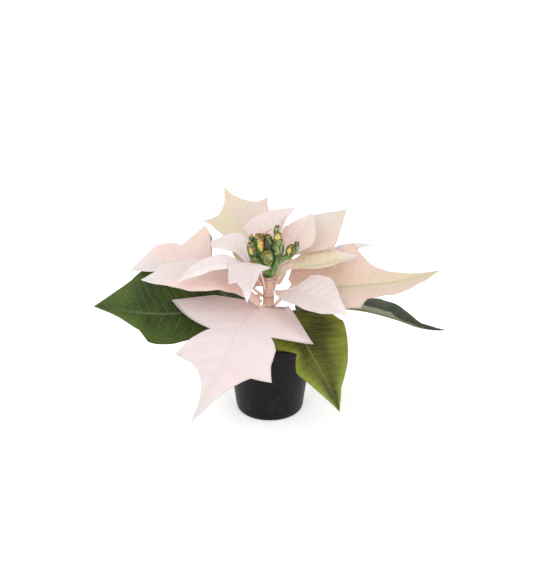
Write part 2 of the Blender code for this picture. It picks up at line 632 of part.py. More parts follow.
def tube(name, points, radii, home, sides=1):
    """A closed round tube through points in millimetres. sides is the curve's bevel resolution."""
    curve = bpy.data.curves.new(name, "CURVE")
    curve.dimensions = "3D"
    curve.bevel_depth = MM
    curve.bevel_resolution = sides
    curve.use_fill_caps = True
    spline = curve.splines.new("POLY")
    spline.points.add(len(points) - 1)
    for place, point, radius in zip(spline.points, points, radii):
        place.co = (*(Vector(point) * MM), 1.0)
        place.radius = radius
    guide = new_object(name + "_curve", curve, home)
    bpy.context.view_layer.update()
    mesh = weld(evaluated_mesh(guide), 1e-6)
    remove(guide)
    return new_object(name, mesh, home)


def stalk_tube(blade, home):
    """The stalk and, under the blade, the midrib: one tapered tube, sunk into the blade's underside."""
    root = STALK_RADIUS if blade.cells == 3 else SMALL_STALK_RADIUS
    start = -blade.stalk / blade.length
    along = np.concatenate([np.linspace(start, 0, 5)[:-1], np.linspace(0, RIB_END, 6)])
    radii = np.interp(along, [start, 0.0, RIB_END], [root, root * 0.85, RIB_TIP_RADIUS])
    centre, _, up = blade.midrib(along)
    sink = STALK_SINK * radii * np.clip(along / 0.06, 0, 1)
    return tube(blade.name + "_stalk", centre - up * sink[:, None], radii, home)


def blade_sheet(blade):
    """The blade's mid surface, split into triangles."""
    along, across = blade.grid(ROWS[blade.cells])
    points = blade.surface(along, across)
    rows, columns = along.shape
    corner = np.arange(rows * columns).reshape(rows, columns)
    a, b = corner[:-1, :-1].ravel(), corner[:-1, 1:].ravel()
    c, d = corner[1:, 1:].ravel(), corner[1:, :-1].ravel()
    right_half = np.tile(np.arange(columns - 1) < blade.cells, rows - 1)[:, None]
    first = np.where(right_half, np.stack([a, b, d], -1), np.stack([a, b, c], -1))
    second = np.where(right_half, np.stack([b, c, d], -1), np.stack([a, c, d], -1))
    mesh = bpy.data.meshes.new(blade.name)
    mesh.from_pydata((points.reshape(-1, 3) * MM).tolist(), [], np.concatenate([first, second]).tolist())
    return weld(mesh, 1e-5)


def make_blade(blade, home):
    """The sheet, thickened and joined to its stalk. The EXACT solver loses some of these thin sheets."""
    thing = new_object(blade.name, blade_sheet(blade), home)
    shell = thing.modifiers.new("thickness", "SOLIDIFY")
    shell.thickness = (LEAF_THICKNESS if blade.is_leaf() else BRACT_THICKNESS) * MM
    shell.offset = 0.0
    thing.data = evaluated_mesh(thing)
    thing.modifiers.clear()
    stalk = stalk_tube(blade, home)
    boolean(thing, "UNION", stalk, "MANIFOLD")
    thing.data = evaluated_mesh(thing)
    thing.modifiers.clear()
    remove(stalk)
    colour = LEAF_COLOUR if blade.is_leaf() else BRACT_COLOURS[blade.name]
    shade(thing, material(blade.name + "_skin", colour, 0.45 if blade.is_leaf() else 0.6), 35)
    return thing


def cup_shape():
    """A plump cup of unit width and height, closed on top by a shallow hollow."""
    return [(0.0, 0.93), (0.24, 0.98), (0.42, 0.84), (0.5, 0.58), (0.46, 0.3), (0.26, 0.02), (0.0, 0.0)]


def placed(mesh, name, home, foot, direction, size):
    """A copy of the mesh with its +Z turned along the direction, its size applied, its origin at the foot."""
    copy = mesh.copy()
    turn = Vector(direction).to_track_quat("Z", "Y").to_matrix().to_4x4()
    copy.transform(Matrix.Translation(Vector(foot) * MM) @ turn @ Matrix.Diagonal((*size, 1.0)))
    return new_object(name, copy, home)


def ball_mesh(segments, rings):
    mesh = bpy.data.meshes.new("ball")
    work = bmesh.new()
    bmesh.ops.create_uvsphere(work, u_segments=segments, v_segments=rings, radius=MM)
    work.to_mesh(mesh)
    work.free()
    return mesh


def add_cup(index, cup, shapes, home):
    """One cup with its gland, a fat lip on one side, and a few pointed tips round its mouth."""
    foot, top, width, side = np.array(cup[0]), np.array(cup[1]), cup[2], math.radians(cup[3])
    axis = top - foot
    height = np.linalg.norm(axis)
    axis = axis / height
    placed(shapes["cup"], f"cup_{index}", home, foot, axis, (width, width, height))
    out = np.array([math.cos(side), math.sin(side), 0.0])
    out = unit(out - out @ axis * axis)
    lip = foot + axis * height * 0.62 + out * width * 0.42
    placed(shapes["ball"], f"gland_{index}", home, lip, axis,
           (width * GLAND_WIDTH, width * GLAND_WIDTH, height * GLAND_LENGTH / 2))
    across = np.cross(axis, out)
    for k in range(TIP_COUNT):
        turn = 2 * math.pi * (k + 0.5) / TIP_COUNT
        rim = foot + axis * height * 0.93 + (out * math.cos(turn) + across * math.sin(turn)) * width * 0.26
        placed(shapes["tip"], f"tip_{index}_{k}", home, rim, axis + 0.25 * (rim - foot) / height,
               (0.9, 0.9, TIP_LENGTH))


def make_cyathia(home):
    pieces = collection("flower head pieces")
    shapes = {"cup": None, "ball": ball_mesh(6, 4), "tip": bpy.data.meshes.new("tip")}
    template = turned("cup_template", cup_shape(), CUP_STEPS, pieces)
    shapes["cup"] = evaluated_mesh(template)
    remove(template)
    work = bmesh.new()
    bmesh.ops.create_cone(work, cap_ends=True, segments=3, radius1=0.55 * MM, radius2=0.12 * MM, depth=2 * MM)
    work.to_mesh(shapes["tip"])
    work.free()
    for index, (points, start, end) in enumerate(BRANCHES):
        shares = np.linspace(0, 1, len(points) + 1)
        branch = smooth_route(points, shares)
        tube(f"branch_{index}", branch, start + (end - start) * shares, pieces)
    for index, cup in enumerate(CUPS):
        add_cup(index, cup, shapes, pieces)
    everything = list(pieces.objects)
    head = everything[0]
    pieces.objects.unlink(head)
    home.objects.link(head)
    head.name = "cyathia"
    boolean(head, "UNION", pieces)
    head.data = weld(evaluated_mesh(head), 1e-6)
    head.modifiers.clear()
    for thing in everything[1:]:
        remove(thing)
    bpy.data.collections.remove(pieces)
    shade(head, material("cyathia_green", (0.10, 0.17, 0.05), 0.45))
    return head


def main():
    clear_scene()
    home = collection(PLANT)
    cutters = collection("cutters", helper=True)
    make_pot(home, cutters)
    make_soil(home, cutters)
    make_stem(home)
    make_cyathia(home)
    for blade in BLADES:
        make_blade(blade, home)


if __name__ == "__main__":
    main()
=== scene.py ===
"""The looks of a potted poinsettia: its pot, soil, stem, flower head, bracts and leaves, all grown or turned
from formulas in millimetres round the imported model. The viewer of the plant's front looks along +Y.
"""

import math

import bmesh
import bpy
import numpy as np
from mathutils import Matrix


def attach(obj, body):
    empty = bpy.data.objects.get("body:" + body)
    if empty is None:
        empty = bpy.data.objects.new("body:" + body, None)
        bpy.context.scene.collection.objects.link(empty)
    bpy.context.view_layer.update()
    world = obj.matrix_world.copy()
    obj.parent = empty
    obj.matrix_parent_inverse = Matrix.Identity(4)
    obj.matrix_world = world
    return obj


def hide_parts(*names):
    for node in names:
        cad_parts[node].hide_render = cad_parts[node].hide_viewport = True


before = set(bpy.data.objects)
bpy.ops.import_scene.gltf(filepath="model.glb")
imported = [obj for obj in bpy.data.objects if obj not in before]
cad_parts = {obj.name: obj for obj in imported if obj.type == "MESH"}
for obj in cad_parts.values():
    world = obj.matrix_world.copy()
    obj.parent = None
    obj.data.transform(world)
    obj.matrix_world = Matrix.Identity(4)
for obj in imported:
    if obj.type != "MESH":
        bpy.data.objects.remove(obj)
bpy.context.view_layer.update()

MM = 0.001
BODY = "root"

# The pot, the soil and the stem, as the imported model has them.
POT_HEIGHT = 60.0
POT_BASE_RADIUS = 24.0
POT_RIM_RADIUS = 32.0
POT_WALL = 1.3
POT_RIM_BAND = 6.0
POT_RIM_STEP = 0.9
POT_FOOT_CHAMFER = 1.6
DRAIN_RADIUS = 2.6
DRAIN_CIRCLE = 15.0
DRAIN_COUNT = 6
SOIL_TOP = 52.0
SOIL_CLEAR = 0.3
STEM_X = -1.0
STEM_RADIUS = 4.2
STEM_FOOT_RADIUS = 4.8
STEM_FOOT = 22.0
STEM_TOP = 106.2
STEM_NODES = (57.0, 66.0, 75.0, 84.0, 91.0, 98.0)
STEM_NODE_SWELL = 0.35
STEM_NODE_HEIGHT = 1.1
STEM_SCARS = (57.0, 66.0, 75.0, 83.4, 91.0, 104.6)

# The blades' grids: stations along the midrib, and cells from the midrib to each margin.
ROWS_ALONG = 84
CELLS_ACROSS = 16
SHEET_THICKNESS = 0.5
MARGIN_SHARE = 0.6
CURL_SPAN = 0.3
VEIN_SWEEP = 0.45
FOOT_SLOPE = 0.08
SHARED_STATION = 0.012
MIDRIB_SAMPLES = 160
STALK_RADIUS = 1.1
SMALL_STALK_RADIUS = 0.8
RIB_TIP_RADIUS = 0.3
RIB_END = 0.92
STALK_SINK = 0.75
STALK_SIDES = 14
STALK_ROWS = 24
RIB_ROWS = 60
WAVE_LENGTH = 30.0
WAVE_PHASES = 17

# The soil's surface, and the lumps on it.
SOIL_RINGS = 46
SOIL_SPOKES = 144
SOIL_SWELL = 0.7
CRUMB_COUNT = 420
PERLITE_COUNT = 26
CRUMB_SIZES = (0.35, 1.1)

# The camera looks at a point above the pot from this far away, in millimetres.
TARGET = np.array([-2.43, 0.0, 92.67])
CAMERA_DISTANCE = 1800.0
CAMERA_PITCH = 26.5
LENS = 153.6
FLOOR_REACH = 4.0
WORLD_STRENGTH = 0.84
# Each lamp's place in metres, its width, and its power in watts.
LAMPS = [
    ("key", (-0.6, -1.5, 1.15), 0.7, 5.5),
    ("fill", (0.9, -1.4, 0.6), 0.9, 5.5),
    ("top", (0.2, 0.4, 1.7), 1.0, 2.0),
]

# The flower head: each cup's foot, its top, its width, and the side that its gland is on in degrees.
CUPS = [
    ((6.2, -3.0, 124.0), (5.9, -3.2, 137.5), 8.8, 262.0),
    ((5.5, -1.0, 134.0), (5.6, -1.2, 141.5), 5.8, 268.0),
    ((3.9, 0.0, 139.5), (5.4, 0.0, 145.6), 4.4, 20.0),
    ((-2.0, -2.0, 123.0), (-1.8, -2.2, 140.3), 8.2, 300.0),
    ((-6.4, -3.2, 122.0), (-8.0, -3.6, 141.6), 7.4, 285.0),
    ((-11.6, 1.0, 129.5), (-13.4, 1.0, 137.8), 4.6, 200.0),
    ((-11.4, -3.6, 121.6), (-13.8, -4.4, 134.8), 7.2, 262.0),
    ((-6.4, -5.6, 119.0), (-13.6, -7.0, 122.4), 6.4, 250.0),
    ((-1.4, -5.6, 119.5), (-2.0, -8.0, 129.0), 9.0, 262.0),
    ((13.2, -2.0, 123.0), (16.2, -2.4, 132.0), 6.8, 245.0),
    ((17.6, -0.8, 125.0), (19.6, -0.8, 133.6), 4.6, 320.0),
    ((-4.4, 4.6, 122.0), (-5.2, 6.4, 137.0), 6.4, 100.0),
    ((3.6, 5.2, 120.0), (4.8, 7.4, 133.0), 6.4, 60.0),
]

# Branches of the flower head: points from the stem top outwards, with the radius at both ends.
BRANCHES = [
    ([(0.6, -0.3, 108.0), (2.4, -1.0, 112.2), (4.6, -1.6, 118.0), (6.2, -2.4, 124.5)], 2.9, 2.5),
    ([(5.0, -1.8, 118.8), (9.0, -2.2, 121.0), (13.2, -2.0, 123.8)], 2.2, 1.9),
    ([(10.8, -2.0, 121.8), (14.6, -1.6, 122.8), (17.6, -0.8, 126.2)], 1.6, 1.3),
    ([(-2.4, -0.6, 107.8), (-2.0, -2.0, 113.0), (-2.0, -2.4, 118.0), (-2.0, -2.0, 124.5)], 2.2, 2.2),
    ([(-1.8, -2.0, 113.0), (-1.4, -4.2, 116.0), (-1.4, -5.6, 120.6)], 2.0, 2.2),
    ([(-2.0, -2.2, 113.6), (-4.8, -3.0, 117.0), (-6.2, -3.2, 119.8), (-6.4, -3.2, 123.4)], 2.0, 2.0),
    ([(-5.0, -3.0, 117.2), (-8.8, -3.4, 118.6), (-11.4, -3.6, 122.8)], 1.8, 1.7),
    ([(-6.0, -2.8, 117.8), (-9.4, -0.8, 121.4), (-11.6, 1.0, 130.6)], 1.5, 1.3),
    ([(-3.4, -2.8, 115.4), (-5.0, -4.8, 117.0), (-7.2, -5.8, 119.4)], 1.8, 1.8),
    ([(-1.8, -1.6, 113.0), (-3.4, 2.2, 117.0), (-4.4, 4.6, 123.0)], 1.8, 1.6),
    ([(3.2, -1.0, 114.6), (3.6, 2.8, 117.5), (3.6, 5.2, 121.0)], 1.8, 1.6),
    ([(3.8, 2.6, 117.5), (4.4, 1.4, 127.0), (4.6, 0.2, 136.0), (4.0, 0.0, 140.6)], 1.4, 1.2),
]


class Number:
    """A number in a material: sums and products of it add the Math nodes that work them out."""

    def __init__(self, finish, socket):
        self.finish = finish
        self.socket = socket

    def __add__(self, other):
        return self.finish.maths("ADD", self, other)

    def __sub__(self, other):
        return self.finish.maths("SUBTRACT", self, other)

    def __mul__(self, other):
        return self.finish.maths("MULTIPLY", self, other)

    def __abs__(self):
        return self.finish.maths("ABSOLUTE", self)

    __radd__ = __add__


class Finish:
    """One material, with short names for the nodes that its pattern is made of."""

    def __init__(self, name, roughness=0.5, **constants):
        self.material = bpy.data.materials.new(name)
        self.material.use_nodes = True
        self.tree = self.material.node_tree
        self.shader = self.tree.nodes["Principled BSDF"]
        self.rough(roughness)
        for socket, value in constants.items():
            self.shader.inputs[socket.replace("_", " ")].default_value = value

    def feed(self, socket, value):
        if isinstance(value, Number):
            self.tree.links.new(value.socket, socket)
        elif hasattr(value, "__len__") and len(socket.default_value) == 4 and len(value) == 3:
            socket.default_value = (*value, 1.0)
        else:
            socket.default_value = value

    def node(self, kind, settings, values, output=0):
        """Any node: its settings are given first, then what its sockets hold or are linked to."""
        made = self.tree.nodes.new(kind)
        for name, value in settings.items():
            setattr(made, name, value)
        for name, value in values.items():
            self.feed(made.inputs[name], value)
        return Number(self, made.outputs[output])

    def maths(self, operation, *values):
        return self.node("ShaderNodeMath", {"operation": operation}, dict(enumerate(values)))

    def part(self, vector, axis):
        return self.node("ShaderNodeSeparateXYZ", {}, {0: vector}, axis)

    def place(self):
        """Where the point is on the object, in metres."""
        return self.node("ShaderNodeTexCoord", {}, {}, 3)

    def shares(self, *axes):
        """The numbers that the mesh carries at its points, told by their place among the tint's three."""
        tint = self.node("ShaderNodeAttribute", {"attribute_name": "tint"}, {}, 1)
        return [self.part(tint, axis) for axis in axes]

    def stretch(self, vector, by):
        return self.node("ShaderNodeVectorMath", {"operation": "MULTIPLY"}, {0: vector, 1: by})

    def noise(self, vector, scale, detail=2.0, roughness=0.5):
        values = {"Vector": vector, "Scale": scale, "Detail": detail, "Roughness": roughness}
        return self.node("ShaderNodeTexNoise", {}, values)

    def cells(self, vector, scale):
        """How far the point is from the border of its cell."""
        settings = {"feature": "DISTANCE_TO_EDGE"}
        return self.node("ShaderNodeTexVoronoi", settings, {"Vector": vector, "Scale": scale})

    def rise(self, value, low, high):
        """0 below low, 1 above high, smooth between; with low above high it falls instead."""
        ends = {"Value": value, "From Min": min(low, high), "From Max": max(low, high)}
        ends |= {"To Min": float(low > high), "To Max": float(low <= high)}
        return self.node("ShaderNodeMapRange", {"interpolation_type": "SMOOTHSTEP"}, ends)

    def mix(self, share, first, second):
        """The first colour turned into the second by this share."""
        return self.node("ShaderNodeMix", {"data_type": "RGBA"}, {0: share, 6: first, 7: second}, 2)

    def line(self, value, width):
        """1 where the value is a whole number and a half, 0 further than the width from there."""
        return self.rise(abs(self.maths("FRACT", value) - 0.5), width, width * 0.3)

    def paint(self, colour, *coats):
        """The colour with each coat over it, by the coat's share. A coat's colour is given as it is seen."""
        for share, coat in coats:
            colour = self.mix(share, colour, seen(*coat))
        self.feed(self.shader.inputs["Base Color"], colour)

    def rough(self, value):
        self.feed(self.shader.inputs["Roughness"], value)

    def relief(self, height, depth):
        """Bumps of this depth in metres."""
        values = {"Height": height, "Distance": depth, "Strength": 1.0}
        self.feed(self.shader.inputs["Normal"], self.node("ShaderNodeBump", {}, values))


def seen(red, green, blue):
    """A colour given as it looks on a screen, 0 to 255, turned into the light that it sends back."""
    share = np.array([red, green, blue]) / 255
    light = np.where(share < 0.04045, share / 12.92, ((share + 0.055) / 1.055) ** 2.4)
    return tuple(float(v) for v in light)


def smooth_route(corners, shares):
    """Points at these shares of a smooth curve through the corners, its knots spaced by chord length."""
    corners = np.array(corners, float)
    chords = np.linalg.norm(np.diff(corners, axis=0), axis=1)
    knots = np.concatenate([[0.0], np.cumsum(chords)]) / chords.sum()
    spans = np.diff(knots)
    slopes = np.diff(corners, axis=0) / spans[:, None]
    tangents = np.empty_like(corners)
    before, after = spans[:-1, None], spans[1:, None]
    tangents[1:-1] = (slopes[:-1] * after + slopes[1:] * before) / (before + after)
    tangents[0] = 2 * slopes[0] - tangents[1] if len(corners) > 2 else slopes[0]
    tangents[-1] = 2 * slopes[-1] - tangents[-2] if len(corners) > 2 else slopes[-1]
    span = np.clip(np.searchsorted(knots, shares, "right") - 1, 0, len(spans) - 1)
    u = ((shares - knots[span]) / spans[span])[:, None]
    width = spans[span][:, None]
    return (
        (2 * u**3 - 3 * u**2 + 1) * corners[span]
        + (u**3 - 2 * u**2 + u) * width * tangents[span]
        + (3 * u**2 - 2 * u**3) * corners[span + 1]
        + (u**3 - u**2) * width * tangents[span + 1]
    )


def unit(vectors):
    return vectors / np.linalg.norm(vectors, axis=-1, keepdims=True)


class Blade:
    """One leaf or bract: a smooth midrib through a few points, and a flat outline laid along it.

    A point of the blade is named by two shares of its length: along the midrib, and across it, positive to
    the left of someone who looks from the stem to the tip. Each side leaves the midrib at its fold angle, and
    turns by its curl angle for every CURL_SPAN of the length that it goes out. A corner of an outline is
    (along, across), with the bulge of the stretch before it, as a share of that stretch, where it has one.
    """

    def __init__(self, name, route, stalk, left, right, fold, curl=(0, 0), roll=0, twist=0, small=False):
        self.name = name
        self.stalk = stalk
        self.small = small
        self.outlines = (self.corners(left), self.corners(right))
        self.fold = np.radians(fold)
        self.curl = np.radians(curl)
        self.roll = math.radians(roll)
        self.twist = math.radians(twist)
        self.points = smooth_route(route, np.linspace(0, 1, MIDRIB_SAMPLES))
        steps = np.linalg.norm(np.diff(self.points, axis=0), axis=1)
        self.travel = np.concatenate([[0.0], np.cumsum(steps)])
        self.length = self.travel[-1] - stalk
        self.ahead = unit(np.gradient(self.points, self.travel, axis=0))
        heading = self.points[-1] - self.points[0]
        self.sideways = unit(np.array([-heading[1], heading[0], 0.0]))

    def is_leaf(self):
        return self.name.startswith("leaf")

    def corners(self, outline):
        return np.array([(*corner, 0.0)[:3] for corner in [(0.0, 0.0), *outline, (1.0, 0.0)]])

    def midrib(self, along):
        """The midrib's point, its left and its upward direction, at shares of the blade's length."""
        way = self.stalk + along * self.length
        centre = np.stack([np.interp(way, self.travel, self.points[:, k]) for k in range(3)], -1)
        ahead = unit(np.stack([np.interp(way, self.travel, self.ahead[:, k]) for k in range(3)], -1))
        centre = centre + ahead * np.minimum(way, 0)[..., None]
        left = unit(self.sideways - (ahead @ self.sideways)[..., None] * ahead)
        up = np.cross(ahead, left)
        turn = (self.roll + self.twist * np.clip(along, 0, 1))[..., None]
        return centre, left * np.cos(turn) + up * np.sin(turn), up * np.cos(turn) - left * np.sin(turn)

    def surface(self, along, across):
        """Points of the blade: each side is an arc that starts at the fold angle and bends by the curl."""
        centre, left, up = self.midrib(along)
        side = np.where(across >= 0, 0, 1)
        start = self.fold[side]
        bend = self.curl[side] / CURL_SPAN
        bend = np.where(np.abs(bend) < 1e-4, 1e-4, bend)
        end = start + bend * np.abs(across)
        out = (np.sin(end) - np.sin(start)) / bend * self.length * np.sign(across)
        rise = (np.cos(start) - np.cos(end)) / bend * self.length
        return centre + left * out[..., None] + up * rise[..., None]

    def feet(self, side):
        """Where the side veins that run to an outline's corners leave the midrib: always further along."""
        corners = self.outlines[side]
        swept = np.clip(corners[:, 0] - VEIN_SWEEP * corners[:, 1], 0, 1)
        even = np.linspace(0, 1, len(corners))
        return (1 - FOOT_SLOPE) * np.maximum.accumulate(swept) + FOOT_SLOPE * even

    def edge(self, side, feet, stations):
        """The outline's points that belong to these stations on the midrib."""
        corners = self.outlines[side]
        k = np.clip(np.searchsorted(feet, stations, "right") - 1, 0, len(feet) - 2)
        u = (stations - feet[k]) / (feet[k + 1] - feet[k])
        step = corners[k + 1, :2] - corners[k, :2]
        bulge = 4 * corners[k + 1, 2] * u * (1 - u)
        along = corners[k, 0] + step[:, 0] * u - step[:, 1] * bulge
        across = corners[k, 1] + step[:, 1] * u + step[:, 0] * bulge
        return along, across

    def grid(self, rows, cells):
        """Rows of (station, along, across, out) from the right edge over the midrib to the left edge."""
        left_feet, right_feet = self.feet(0), self.feet(1)
        for i in range(1, len(right_feet) - 1):
            nearest = left_feet[np.argmin(np.abs(left_feet - right_feet[i]))]
            room = right_feet[i - 1] + 1e-3 < nearest < right_feet[i + 1] - 1e-3
            if room and abs(nearest - right_feet[i]) < SHARED_STATION:
                right_feet[i] = nearest
        marks = np.unique(np.round(np.concatenate([left_feet, right_feet]), 5))
        stations = [marks[:1]]
        for start, end in zip(marks[:-1], marks[1:]):
            stations.append(np.linspace(start, end, math.ceil((end - start) * rows) + 1)[1:])
        stations = np.concatenate(stations)
        out = np.linspace(0, 1, cells + 1)[None, :]
        halves = []
        for side, feet, sign in ((0, left_feet, 1), (1, right_feet, -1)):
            along, across = self.edge(side, feet, stations)
            reach = stations[:, None] + (along - stations)[:, None] * out
            halves.append((reach, sign * across[:, None] * out))
        along = np.concatenate([halves[1][0][:, :0:-1], halves[0][0]], axis=1)
        across = np.concatenate([halves[1][1][:, :0:-1], halves[0][1]], axis=1)
        out = np.tile(np.abs(np.linspace(-1, 1, 2 * cells + 1)), (len(stations), 1))
        return np.tile(stations[:, None], (1, 2 * cells + 1)), along, across, out


